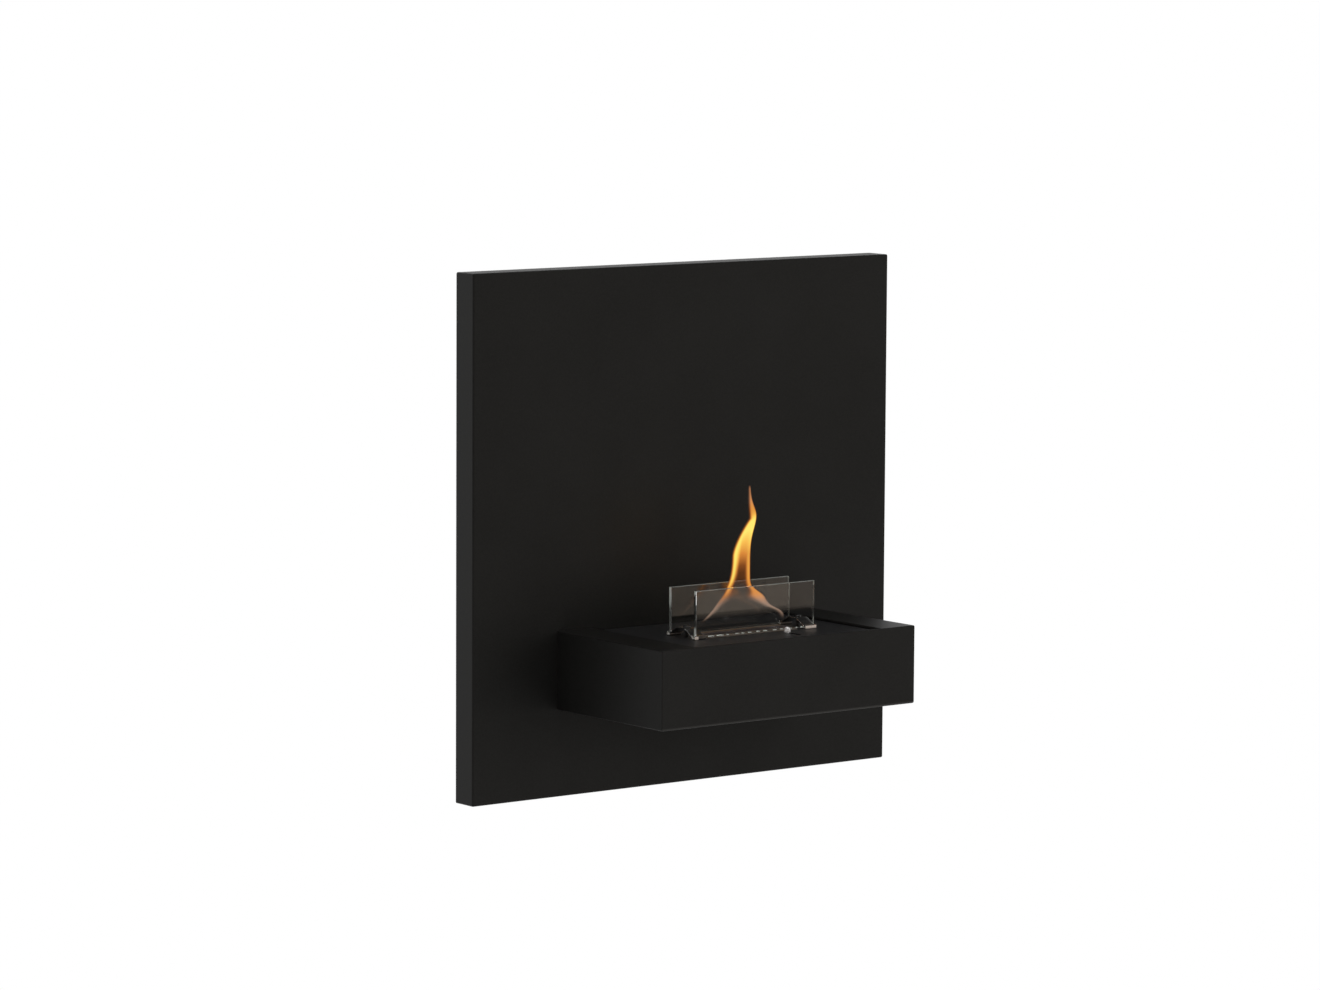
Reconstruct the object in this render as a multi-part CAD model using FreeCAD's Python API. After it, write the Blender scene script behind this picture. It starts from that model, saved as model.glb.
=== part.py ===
import FreeCAD, Part
import math
import os

# Wall-mounted ethanol fireplace: a folded steel panel hooked on a wall rail, a burner casing bolted to
# the panel, and a drop-in deck that carries the burner, its shutter and two panes of glass.
# Frame: origin on the wall, midway between the wall rail's two screw slots; +X to the right as seen
# from the room, +Y into the wall, +Z up. Millimetres.

# Back panel: a folded pan, open at the back
PANEL_W = 600.0
PANEL_H = 600.0
PANEL_DEPTH = 32.5
PANEL_SHEET = 1.5
PANEL_LIP = 18.0        # return folded behind each side
MITRE_GAP = 0.6         # slit where two returns meet
BEND_R = 0.5            # inside radius of every fold

# Hanging on the wall
RAIL_DROP = 80.0        # screw slots below the panel's upper edge
RAIL_SHEET = 2.0
RAIL_FLANGE = 30.0      # height of the flange that lies on the wall
RAIL_STANDOFF = 10.0    # wall to the back of the hook
RAIL_HOOK = 18.0        # height of the upturned hook
HOOK_DROP = 12.0        # depth of the panel's hook behind it
HOOK_PLAY = 0.5
HANGER_FLANGE = 26.0    # height of the hanging rail's welded flange
HANGER_INSET = 80.0     # hanging rail's ends from the panel's sides
RAIL_INSET = 10.0       # wall rail's ends from the hanging rail's
SLOT_INSET = 30.0       # screw slots from the wall rail's ends
SLOT_W = 7.0
SLOT_L = 18.0
BUMPER_W = 12.0
BUMPER_T = 2.0          # holds the panel off the wall

# Stiffeners welded behind the panel, in line with the casing's bolts
STIFFENER_W = 40.0
STIFFENER_DEPTH = 15.0
STIFFENER_SHEET = 1.5
STIFFENER_FOOT = 25.0   # lower end above the panel's lower edge
STIFFENER_CLEAR = 25.0  # upper end below the wall rail, more than the panel lifts to unhook

# Burner casing
CASE_W = 365.0
CASE_H = 90.0
CASE_DEPTH = 195.0
CASE_BASE = 100.0       # underside above the panel's lower edge
CASE_SHEET = 1.5
DECK_W = 265.0          # deck bay between the two top bands
LEDGE_W = 14.0          # ledge under the deck
CASE_FLANGE = 25.0      # rear flange bolted to the panel
FRONT_ANGLE_LEG = 14.0
FRONT_EDGE_SHARE = 0.8  # rounding of the welded front's edge, as a share of the sheet

# Casing fasteners
CASE_BOLT_R = 3.0
CASE_BOLT_AF = 10.0
CASE_BOLT_HEAD = 4.0
CASE_BOLT_DROP = 20.0   # bolt holes below the casing's upper face
CASE_NUT_T = 5.0
BOLT_END = 1.5          # bolt end beyond its nut
BOLT_PLAY = 0.25        # radial play of a bolt in its hole
THREAD_PLAY = 0.05      # radial play that stands for a thread
CASE_TAB_X = 70.0       # lower tabs from the middle
CASE_TAB_W = 20.0
CASE_TAB_RISE = 12.0    # tabs above the casing's underside
CASE_TAB_END = 4.0      # tabs beyond the panel's sheet
CASE_TAB_PLAY = 0.3

# Drop-in deck
DECK_DROP = 3.0         # deck face below the bands
DECK_SHEET = 1.5
DECK_GAP = 1.0          # gap round the deck
DECK_LIP = 12.0         # rear edge folded down

# Burner
FLAME_SLOT_W = 14.0
FLAME_SLOT_INSET = 7.5  # slot's ends from the cover's
COVER_GAP = 6.5         # cover to the glass holders
COVER_SIDE = 1.0        # cover to the panes
COVER_SHEET = 1.5
COVER_CORNER = 1.2
COLLAR_T = 1.2          # wall of the collar round the flame slot
COLLAR_PLAY = 0.4
TANK_END = 5.0          # tank beyond each end of the flame slot
TANK_W = 34.0
TANK_WALL = 1.2
TANK_CORNER = 8.0
TRAY_GAP = 3.0          # tank to overflow tray
TRAY_WALL = 1.0
TRAY_CLEAR = 23.0       # tray above the casing's floor
FLANGE_LAND = 11.0      # burner flange in front of the tank and behind the parked shutter
FUEL_HEADROOM = 15.5    # top of the fibre block below the tank's rim
FIBRE_PLAY = 0.3
MESH_SHEET = 0.8
MESH_SLOT_L = 11.0
MESH_SLOT_W = 3.0
MESH_PITCH_X = 14.0
MESH_PITCH_Y = 8.0
MESH_EDGE = 3.0         # plain edge round the slots

# Shutter under the deck
SHUTTER_SHEET = 1.5
SHUTTER_PLAY = 0.3
SHUTTER_LAP = 3.0       # leaf beyond the flame slot's collar when shut
SHUTTER_PARK = 1.0      # leaf behind the collar when open
SHUTTER_FRONT = 11.3    # room between the shut shutter and the front angle
ARM_W = 7.0
TAB_W = 12.0
GUIDE_W = 16.0
GUIDE_LAND = 4.0        # guide's inner edge to the holder screws tapped into it
KNOB_X = 38.0
KNOB_CLEAR = 4.0        # knob's rivet in front of the burner flange, shutter open
KNOB_R = 3.8
KNOB_H = 6.5
KNOB_WAIST_R = 2.7
KNOB_STEM_R = 2.2
KNOB_LIFT = 0.3         # knob clear of the deck
KNOB_RIVET_R = 3.0
KNOB_RIVET_T = 0.6
KNOB_SLOT_PLAY = 0.4

# Burner fasteners
STUD_R = 2.0
STUD_END = 3.5          # stud end beyond its nut
STUD_INSET = 6.0        # stud from the flange's front and rear edges
NUT_AF = 7.0
NUT_T = 3.2

# Glass
GLASS_W = 171.0
GLASS_H = 53.0
GLASS_T = 4.0
GLASS_PITCH = 46.0      # between the panes' middle planes
GLASS_ARRIS = 0.4
GLASS_PLAY = 0.3

# Glass holders: bent strips that bridge the two panes' feet
HOLDER_W = 16.0
HOLDER_PROUD = 2.5      # holder beyond the pane's end
HOLDER_SHEET = 1.2
HOLDER_LIP = 5.0
HOLDER_RISER = 3.2
HOLDER_CROWN = 11.7     # crown above the deck
HOLDER_CROWN_W = 14.0
PAD_T = 1.0
SCREW_R = 2.0
SCREW_HEAD_R = 3.8
SCREW_HEAD_H = 2.4
SCREW_RIM_H = 0.8
SCREW_CROWN_R = 2.4

# Heights
PANEL_TOP = RAIL_DROP
PANEL_LOW = PANEL_TOP - PANEL_H
CASE_LOW = PANEL_LOW + CASE_BASE
CASE_TOP = CASE_LOW + CASE_H
DECK_TOP = CASE_TOP - DECK_DROP
DECK_UNDER = DECK_TOP - DECK_SHEET
GUIDE_T = SHUTTER_SHEET + 2 * SHUTTER_PLAY
TANK_TOP = DECK_UNDER - GUIDE_T
FLANGE_UNDER = TANK_TOP - TANK_WALL
SHUTTER_TOP = DECK_UNDER - SHUTTER_PLAY
SHUTTER_UNDER = SHUTTER_TOP - SHUTTER_SHEET
TRAY_LOW = CASE_LOW + CASE_SHEET + TRAY_CLEAR
TANK_LOW = TRAY_LOW + TRAY_WALL + TRAY_GAP
FIBRE_LOW = TANK_LOW + TANK_WALL + FIBRE_PLAY
FIBRE_TOP = TANK_TOP - FUEL_HEADROOM
GLASS_FOOT = DECK_TOP + HOLDER_SHEET + PAD_T
RAIL_WEB_TOP = RAIL_FLANGE / 2
RAIL_TOP = RAIL_WEB_TOP + RAIL_HOOK

# Half lengths and offsets from the burner's centre
HOLDER_X = GLASS_W / 2 + HOLDER_PROUD - HOLDER_W / 2
COVER_HALF_L = HOLDER_X - HOLDER_W / 2 - COVER_GAP
COVER_HALF_W = (GLASS_PITCH - GLASS_T) / 2 - COVER_SIDE
FLAME_HALF_L = COVER_HALF_L - FLAME_SLOT_INSET
FLAME_HALF_W = FLAME_SLOT_W / 2
COLLAR_HALF_L = FLAME_HALF_L + COLLAR_T
COLLAR_HALF_W = FLAME_HALF_W + COLLAR_T
CUTOUT_HALF_L = COLLAR_HALF_L + COLLAR_PLAY
CUTOUT_HALF_W = COLLAR_HALF_W + COLLAR_PLAY
TANK_HALF_L = FLAME_HALF_L + TANK_END
TANK_HALF_W = TANK_W / 2
GUIDE_INNER = HOLDER_X - GUIDE_LAND
LEAF_HALF_L = GUIDE_INNER - SHUTTER_PLAY
LEAF_FRONT = CUTOUT_HALF_W + SHUTTER_PARK
LEAF_REAR = LEAF_FRONT + 2 * (CUTOUT_HALF_W + SHUTTER_LAP)
SHUTTER_TRAVEL = LEAF_FRONT + CUTOUT_HALF_W + SHUTTER_LAP
FLANGE_HALF_L = GUIDE_INNER + GUIDE_W
FLANGE_FRONT = -TANK_HALF_W - FLANGE_LAND
FLANGE_REAR = LEAF_REAR + FLANGE_LAND
KNOB_FRONT = FLANGE_FRONT - KNOB_CLEAR - KNOB_RIVET_R

# Depths
PANEL_BACK = -BUMPER_T
PANEL_FRONT = PANEL_BACK - PANEL_DEPTH
PANEL_INSIDE = PANEL_FRONT + PANEL_SHEET
CASE_FRONT = PANEL_FRONT - CASE_DEPTH
CASE_FRONT_INSIDE = CASE_FRONT + CASE_SHEET
DECK_FRONT = CASE_FRONT_INSIDE + DECK_GAP
DECK_REAR = PANEL_FRONT - DECK_GAP
SHUT_FRONT = KNOB_FRONT - TAB_W / 2 - SHUTTER_TRAVEL
BURNER_Y = CASE_FRONT_INSIDE + FRONT_ANGLE_LEG + SHUTTER_FRONT - SHUT_FRONT
KNOB_Y = BURNER_Y + KNOB_FRONT
STUD_X = GUIDE_INNER + GUIDE_W / 2
STUD_Y = (BURNER_Y + FLANGE_FRONT + STUD_INSET, BURNER_Y + FLANGE_REAR - STUD_INSET)

# Half widths of the panel, its rails and the casing
PANEL_HALF = PANEL_W / 2
HANGER_HALF = PANEL_HALF - HANGER_INSET
RAIL_HALF = HANGER_HALF - RAIL_INSET
SLOT_X = RAIL_HALF - SLOT_INSET
CASE_HALF = CASE_W / 2
DECK_BAY = DECK_W / 2
DECK_HALF = DECK_BAY - DECK_GAP
LEDGE_INNER = DECK_BAY - LEDGE_W
CASE_BOLT_X = CASE_HALF - CASE_SHEET - CASE_FLANGE / 2
CASE_BOLT_Z = CASE_TOP - CASE_BOLT_DROP
GLASS_OFFSETS = {"front": -GLASS_PITCH / 2, "rear": GLASS_PITCH / 2}
SIDES = {"left": -1, "right": 1}

NO_LENGTH = 1e-6        # points closer than this are one point

V = FreeCAD.Vector


def block(x0, x1, y0, y1, z0, z1):
    """Plain block between two opposite corners."""
    return Part.makeBox(x1 - x0, y1 - y0, z1 - z0, V(x0, y0, z0))


def rod(radius, start, end):
    """Cylinder from one point to another."""
    return Part.makeCylinder(radius, (end - start).Length, start, end - start)


def rounded_face(corners, radii):
    """Flat face through the corners, each rounded by its own radius."""
    edges = []
    ends = []
    count = len(corners)
    for i, corner in enumerate(corners):
        back = (corners[i - 1] - corner).normalize()
        ahead = (corners[(i + 1) % count] - corner).normalize()
        half = back.getAngle(ahead) / 2
        if radii[i] <= 0:
            ends.append((corner, corner))
            continue
        run = radii[i] / math.tan(half)
        middle = (back + ahead).normalize() * (radii[i] / math.sin(half) - radii[i])
        start = corner + back * run
        stop = corner + ahead * run
        edges.append(Part.Arc(start, corner + middle, stop).toShape())
        ends.append((start, stop))
    for i, (start, stop) in enumerate(ends):
        following = ends[(i + 1) % count][0]
        if (following - stop).Length > NO_LENGTH:
            edges.append(Part.LineSegment(stop, following).toShape())
    return Part.Face(Part.Wire(Part.__sortEdges__(edges)))


def along_x(points, radii, x0, x1):
    """Section given in (y, z), carried along X."""
    face = rounded_face([V(x0, y, z) for y, z in points], radii)
    return face.extrude(V(x1 - x0, 0, 0))


def along_y(points, radii, y0, y1):
    """Section given in (x, z), carried along Y."""
    face = rounded_face([V(x, y0, z) for x, z in points], radii)
    return face.extrude(V(0, y1 - y0, 0))


def along_z(points, radii, z0, z1):
    """Section given in (x, y), carried along Z."""
    face = rounded_face([V(x, y, z0) for x, y in points], radii)
    return face.extrude(V(0, 0, z1 - z0))


def bent_strip(path, sheet):
    """Section of a folded sheet that lies on the left of its path, with true bend radii."""
    count = len(path)
    headings = []
    for (u0, v0), (u1, v1) in zip(path, path[1:]):
        length = math.hypot(u1 - u0, v1 - v0)
        headings.append(((u1 - u0) / length, (v1 - v0) / length))
    far_side = []
    near_radii = []
    far_radii = []
    for i, (u, v) in enumerate(path):
        before = headings[max(i - 1, 0)]
        after = headings[min(i, count - 2)]
        dot = before[0] * after[0] + before[1] * after[1]
        reach = sheet / (1 + dot)
        far_side.append((u - (before[1] + after[1]) * reach, v + (before[0] + after[0]) * reach))
        turn = before[0] * after[1] - before[1] * after[0]
        at_end = i in (0, count - 1)
        near_radii.append(0 if at_end else BEND_R + (sheet if turn > 0 else 0))
        far_radii.append(0 if at_end else BEND_R + (sheet if turn < 0 else 0))
    return path + far_side[::-1], near_radii + far_radii[::-1]


def rectangle(half_l, y0, y1, centre_x=0.0):
    """Corners of a rectangle in plan."""
    return [
        (centre_x - half_l, y0),
        (centre_x + half_l, y0),
        (centre_x + half_l, y1),
        (centre_x - half_l, y1),
    ]


def plate(half_l, y0, y1, corner, z0, z1, centre_x=0.0):
    """Flat plate with rounded corners."""
    return along_z(rectangle(half_l, y0, y1, centre_x), [corner] * 4, z0, z1)


def burner_plate(half_l, half_w, corner, z0, z1):
    """Plate centred on the burner."""
    return plate(half_l, BURNER_Y - half_w, BURNER_Y + half_w, corner, z0, z1)


def hexagon(across_flats, u, v):
    """Corners of a hexagon about a point of its plane."""
    reach = across_flats / math.sqrt(3)
    turns = [math.pi * i / 3 for i in range(6)]
    return [(u + reach * math.cos(turn), v + reach * math.sin(turn)) for turn in turns]


def turned(profile, x, y):
    """Solid of revolution about a vertical axis; the profile is (radius, height) pairs from foot to top."""
    points = [V(x, y, profile[0][1])]
    points += [V(x + r, y, z) for r, z in profile]
    points += [V(x, y, profile[-1][1]), points[0]]
    face = Part.Face(Part.makePolygon(points))
    return face.revolve(V(x, y, 0), V(0, 0, 1), 360)


def group(solids):
    """Like pieces that share one node."""
    return Part.makeCompound(solids)


def wall_rail():
    """Z-shaped rail: a flange on the wall with two level slots, and a hook turned up in front of it."""
    path = [
        (0.0, -RAIL_FLANGE / 2),
        (0.0, RAIL_WEB_TOP),
        (-RAIL_STANDOFF, RAIL_WEB_TOP),
        (-RAIL_STANDOFF, RAIL_TOP),
    ]
    rail = along_x(*bent_strip(path, RAIL_SHEET), -RAIL_HALF, RAIL_HALF)
    half_w = SLOT_W / 2
    for side in SIDES.values():
        slot = rectangle(SLOT_L / 2, -half_w, half_w, side * SLOT_X)
        rail = rail.cut(along_y(slot, [half_w] * 4, -RAIL_SHEET, 0.0))
    return rail


def hanging_rail():
    """Rail welded inside the panel, with a hook turned down behind the wall rail's hook."""
    hook_front = -RAIL_STANDOFF + HOOK_PLAY
    path = [
        (PANEL_INSIDE, RAIL_TOP + HANGER_FLANGE),
        (PANEL_INSIDE, RAIL_TOP),
        (hook_front, RAIL_TOP),
        (hook_front, RAIL_TOP - HOOK_DROP),
    ]
    return along_x(*bent_strip(path, RAIL_SHEET), -HANGER_HALF, HANGER_HALF)


def wall_bumpers():
    """Square rubber pads at the corners of the panel's returns."""
    half = BUMPER_W / 2
    places = [side * (PANEL_HALF - PANEL_LIP / 2) for side in SIDES.values()]
    heights = (PANEL_LOW + PANEL_LIP / 2, PANEL_TOP - PANEL_LIP / 2)
    return group(
        [block(x - half, x + half, PANEL_BACK, 0, z - half, z + half) for x in places for z in heights]
    )


def case_bolt_places():
    """Where the casing's bolts stand, in (x, z)."""
    return [(side * CASE_BOLT_X, CASE_BOLT_Z) for side in SIDES.values()]


def case_bolt_holes(y0, y1):
    """Clearance holes for the casing's bolts."""
    radius = CASE_BOLT_R + BOLT_PLAY
    return group([rod(radius, V(x, y0, z), V(x, y1, z)) for x, z in case_bolt_places()])


def casing_tabs(play, y0, y1):
    """Level tabs low on the casing's back that hook into the panel."""
    half = CASE_TAB_W / 2 + play
    low = CASE_LOW + CASE_TAB_RISE - play
    top = CASE_LOW + CASE_TAB_RISE + CASE_SHEET + play
    places = [side * CASE_TAB_X for side in SIDES.values()]
    return [block(x - half, x + half, y0, y1, low, top) for x in places]


def back_panel():
    """Folded pan with mitred returns welded in at the back."""
    half = PANEL_HALF
    sheet = PANEL_SHEET
    pan = block(-half, half, PANEL_FRONT, PANEL_BACK, PANEL_LOW, PANEL_TOP)
    pan = pan.makeFillet(BEND_R + sheet, [e for e in pan.Edges if e.BoundBox.YMin < PANEL_BACK - sheet])
    inside = block(
        -half + sheet, half - sheet, PANEL_INSIDE, PANEL_BACK - sheet, PANEL_LOW + sheet, PANEL_TOP - sheet
    )
    pan = pan.cut(inside)
    opening = half - PANEL_LIP
    low = PANEL_LOW + PANEL_LIP
    top = PANEL_TOP - PANEL_LIP
    pan = pan.cut(block(-opening, opening, PANEL_BACK - 2 * sheet, PANEL_BACK, low, top))
    slit_length = (PANEL_LIP - 2 * sheet) * math.sqrt(2)
    for turn, x, z in ((0, opening, top), (90, -opening, top), (180, -opening, low), (270, opening, low)):
        slit = block(-MITRE_GAP, slit_length, PANEL_BACK - sheet, PANEL_BACK, -MITRE_GAP / 2, MITRE_GAP / 2)
        slit.rotate(V(0, 0, 0), V(0, -1, 0), 45 + turn)
        slit.translate(V(x, 0, z))
        pan = pan.cut(slit)
    pan = pan.cut(group(casing_tabs(CASE_TAB_PLAY, PANEL_FRONT, PANEL_INSIDE)))
    return pan.cut(case_bolt_holes(PANEL_FRONT, PANEL_INSIDE))


def panel_stiffener(side):
    """Channel welded to the panel's inside, with its legs towards the wall."""
    centre = side * CASE_BOLT_X
    legs = PANEL_INSIDE + STIFFENER_DEPTH
    path = [
        (centre - STIFFENER_W / 2, legs),
        (centre - STIFFENER_W / 2, PANEL_INSIDE),
        (centre + STIFFENER_W / 2, PANEL_INSIDE),
        (centre + STIFFENER_W / 2, legs),
    ]
    foot = PANEL_LOW + STIFFENER_FOOT
    channel = along_z(*bent_strip(path, STIFFENER_SHEET), foot, -RAIL_FLANGE / 2 - STIFFENER_CLEAR)
    return channel.cut(case_bolt_holes(PANEL_INSIDE, PANEL_INSIDE + STIFFENER_SHEET))


def burner_casing():
    """Wrapped sheet with top bands and joggled ledges, a welded front, rear flanges and lower tabs."""
    half = CASE_HALF
    sheet = CASE_SHEET
    path = [
        (-LEDGE_INNER, DECK_UNDER),
        (-DECK_BAY, DECK_UNDER),
        (-DECK_BAY, CASE_TOP),
        (-half, CASE_TOP),
        (-half, CASE_LOW),
        (half, CASE_LOW),
        (half, CASE_TOP),
        (DECK_BAY, CASE_TOP),
        (DECK_BAY, DECK_UNDER),
        (LEDGE_INNER, DECK_UNDER),
    ]
    wrap = along_y(*bent_strip(path, sheet), CASE_FRONT_INSIDE, PANEL_FRONT)
    outline = [(-half, CASE_LOW), (half, CASE_LOW), (half, CASE_TOP), (-half, CASE_TOP)]
    front = along_y(outline, [BEND_R + sheet] * 4, CASE_FRONT, CASE_FRONT_INSIDE)
    rim = [e for e in front.Edges if abs(e.BoundBox.YMax - CASE_FRONT) < sheet / 10]
    casing = wrap.fuse(front.makeFillet(FRONT_EDGE_SHARE * sheet, rim))
    inner = half - sheet
    flange = PANEL_FRONT - sheet
    for side in SIDES.values():
        x0, x1 = sorted((side * (inner - CASE_FLANGE), side * (inner + sheet / 2)))
        casing = casing.fuse(block(x0, x1, flange, PANEL_FRONT, CASE_LOW + sheet / 2, CASE_TOP - sheet / 2))
    casing = casing.fuse(
        block(-inner, inner, flange, PANEL_FRONT, CASE_LOW + sheet / 2, CASE_LOW + CASE_FLANGE)
    )
    for tab in casing_tabs(0, flange, PANEL_INSIDE + CASE_TAB_END):
        casing = casing.fuse(tab)
    return casing.removeSplitter().cut(case_bolt_holes(flange, PANEL_FRONT))


def casing_bolts():
    """Hex bolts put in from inside the casing."""
    seat = PANEL_FRONT - CASE_SHEET
    end = PANEL_INSIDE + STIFFENER_SHEET + CASE_NUT_T + BOLT_END
    bolts = []
    for x, z in case_bolt_places():
        head = along_y(hexagon(CASE_BOLT_AF, x, z), [0] * 6, seat - CASE_BOLT_HEAD, seat)
        bolts.append(head.fuse(rod(CASE_BOLT_R, V(x, seat, z), V(x, end, z))).removeSplitter())
    return group(bolts)


def casing_nuts():
    """Nuts against the stiffeners."""
    seat = PANEL_INSIDE + STIFFENER_SHEET
    nuts = []
    for x, z in case_bolt_places():
        nut = along_y(hexagon(CASE_BOLT_AF, x, z), [0] * 6, seat, seat + CASE_NUT_T)
        nuts.append(nut.cut(rod(CASE_BOLT_R + THREAD_PLAY, V(x, seat, z), V(x, seat + CASE_NUT_T, z))))
    return group(nuts)


def deck_front_angle():
    """Angle welded behind the casing's front, level with the side ledges."""
    path = [
        (CASE_FRONT_INSIDE + FRONT_ANGLE_LEG, DECK_UNDER),
        (CASE_FRONT_INSIDE, DECK_UNDER),
        (CASE_FRONT_INSIDE, DECK_UNDER - FRONT_ANGLE_LEG),
    ]
    return along_x(*bent_strip(path, CASE_SHEET), -LEDGE_INNER + DECK_GAP, LEDGE_INNER - DECK_GAP)


def stud_places():
    """Where the burner's studs stand, in (x, y)."""
    return [(side * STUD_X, y) for side in SIDES.values() for y in STUD_Y]


def stud_holes(z0, z1):
    """Clearance holes for the burner's studs."""
    return group([rod(STUD_R + BOLT_PLAY, V(x, y, z0), V(x, y, z1)) for x, y in stud_places()])


def holder_screw_holes(radius, z0, z1):
    """Holes for the screws of the two glass holders."""
    places = [side * HOLDER_X for side in SIDES.values()]
    return group([rod(radius, V(x, BURNER_Y, z0), V(x, BURNER_Y, z1)) for x in places])


def knob_slot(z0, z1):
    """Slot in the deck along which the knob travels."""
    half = KNOB_STEM_R + KNOB_SLOT_PLAY
    return plate(half, KNOB_Y - SHUTTER_TRAVEL - half, KNOB_Y + half, half, z0, z1, KNOB_X)


def deck_plate():
    """Plate that drops in between the casing's bands, its rear edge folded down."""
    path = [
        (DECK_REAR, DECK_TOP - DECK_LIP),
        (DECK_REAR, DECK_TOP),
        (DECK_FRONT, DECK_TOP),
    ]
    deck = along_x(*bent_strip(path, DECK_SHEET), -DECK_HALF, DECK_HALF)
    notch = LEDGE_INNER - DECK_GAP
    for side in SIDES.values():
        x0, x1 = sorted((side * notch, side * DECK_HALF))
        deck = deck.cut(block(x0, x1, DECK_FRONT, DECK_REAR, DECK_TOP - DECK_LIP, DECK_UNDER))
    deck = deck.cut(burner_plate(CUTOUT_HALF_L, CUTOUT_HALF_W, 0, DECK_UNDER, DECK_TOP))
    deck = deck.cut(knob_slot(DECK_UNDER, DECK_TOP))
    return deck.cut(holder_screw_holes(SCREW_R + BOLT_PLAY, DECK_UNDER, DECK_TOP))


def deck_studs():
    """Weld studs under the shutter's guides."""
    end = FLANGE_UNDER - NUT_T - STUD_END
    return group([rod(STUD_R, V(x, y, end), V(x, y, TANK_TOP)) for x, y in stud_places()])


def burner_nuts():
    """Nuts that clamp the tank and its tray to the guides."""
    nuts = []
    low = FLANGE_UNDER - NUT_T
    for x, y in stud_places():
        nut = along_z(hexagon(NUT_AF, x, y), [0] * 6, low, FLANGE_UNDER)
        nuts.append(nut.cut(rod(STUD_R + THREAD_PLAY, V(x, y, low), V(x, y, FLANGE_UNDER))))
    return group(nuts)


def burner_cover():
    """Floor between the panes, with a collar round the flame slot that drops into the deck."""
    top = DECK_TOP + COVER_SHEET
    cover = burner_plate(COVER_HALF_L, COVER_HALF_W, COVER_CORNER, DECK_TOP, top)
    collar = burner_plate(COLLAR_HALF_L, COLLAR_HALF_W, 0, DECK_UNDER, DECK_TOP)
    slot = burner_plate(FLAME_HALF_L, FLAME_HALF_W, FLAME_HALF_W, DECK_UNDER, top)
    return cover.fuse(collar).cut(slot)


def shutter_guide(side):
    """Strip welded under the deck that keeps the shutter straight and carries the tank's studs."""
    front = BURNER_Y + FLANGE_FRONT
    rear = BURNER_Y + FLANGE_REAR
    guide = plate(GUIDE_W / 2, front, rear, 0, TANK_TOP, DECK_UNDER, side * STUD_X)
    return guide.cut(holder_screw_holes(SCREW_R + THREAD_PLAY, TANK_TOP, DECK_UNDER))


def shutter_leaf():
    """Flat leaf parked behind the flame slot, with an arm round the slot's end to the knob."""
    rear = BURNER_Y + LEAF_REAR
    front = BURNER_Y + LEAF_FRONT
    tab_front = KNOB_Y - TAB_W / 2
    tab_rear = KNOB_Y + TAB_W / 2
    tab_left = KNOB_X - TAB_W / 2
    arm_left = LEAF_HALF_L - ARM_W
    outline = [
        (-LEAF_HALF_L, rear),
        (-LEAF_HALF_L, front),
        (arm_left, front),
        (arm_left, tab_rear),
        (tab_left, tab_rear),
        (tab_left, tab_front),
        (LEAF_HALF_L, tab_front),
        (LEAF_HALF_L, rear),
    ]
    inner = ARM_W / 2
    radii = [0, 0, 0, 0, inner, inner, inner, 0]
    leaf = along_z(outline, radii, SHUTTER_UNDER, SHUTTER_TOP)
    return leaf.cut(rod(KNOB_STEM_R, V(KNOB_X, KNOB_Y, SHUTTER_UNDER), V(KNOB_X, KNOB_Y, SHUTTER_TOP)))


def shutter_knob():
    """Turned knob riveted to the shutter's tab."""
    foot = DECK_TOP + KNOB_LIFT
    top = DECK_TOP + KNOB_H
    flare = KNOB_R - KNOB_WAIST_R
    profile = [
        (KNOB_RIVET_R, SHUTTER_UNDER - KNOB_RIVET_T),
        (KNOB_RIVET_R, SHUTTER_UNDER),
        (KNOB_STEM_R, SHUTTER_UNDER),
        (KNOB_STEM_R, foot),
        (KNOB_R, foot + flare),
        (KNOB_R, top - flare),
        (KNOB_WAIST_R, top),
    ]
    return turned(profile, KNOB_X, KNOB_Y)


def open_tray(half_l, half_w, wall, corner, low, top):
    """Welded tray with rounded upright corners, open at the top, and the hollow inside it."""
    body = burner_plate(half_l, half_w, corner, low, top)
    hollow = burner_plate(half_l - wall, half_w - wall, corner - wall, low + wall, top)
    return body, hollow


def burner_tank():
    """Fuel tank with a flat flange at its mouth that is clamped under the deck."""
    body, hollow = open_tray(TANK_HALF_L, TANK_HALF_W, TANK_WALL, TANK_CORNER, TANK_LOW, TANK_TOP)
    flange = plate(FLANGE_HALF_L, BURNER_Y + FLANGE_FRONT, BURNER_Y + FLANGE_REAR, 0, FLANGE_UNDER, TANK_TOP)
    return body.fuse(flange).removeSplitter().cut(hollow).cut(stud_holes(FLANGE_UNDER, TANK_TOP))


def overflow_tray():
    """Outer tray welded under the tank's flange, which catches spilled fuel."""
    out = TRAY_GAP + TRAY_WALL
    body, hollow = open_tray(
        TANK_HALF_L + out, TANK_HALF_W + out, TRAY_WALL, TANK_CORNER + out, TRAY_LOW, FLANGE_UNDER
    )
    return body.cut(hollow)


def tank_filling(z0, z1):
    """Block that fits the inside of the tank."""
    inset = TANK_WALL + FIBRE_PLAY
    return burner_plate(TANK_HALF_L - inset, TANK_HALF_W - inset, TANK_CORNER - inset, z0, z1)


def fibre_block():
    """Absorbent ceramic fibre block that holds the fuel."""
    return tank_filling(FIBRE_LOW, FIBRE_TOP)


def spread(room, pitch, length):
    """Centres of as many evenly pitched slots as the room takes."""
    count = int((room - length) // pitch) + 1
    return [(i - (count - 1) / 2) * pitch for i in range(count)]


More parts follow.
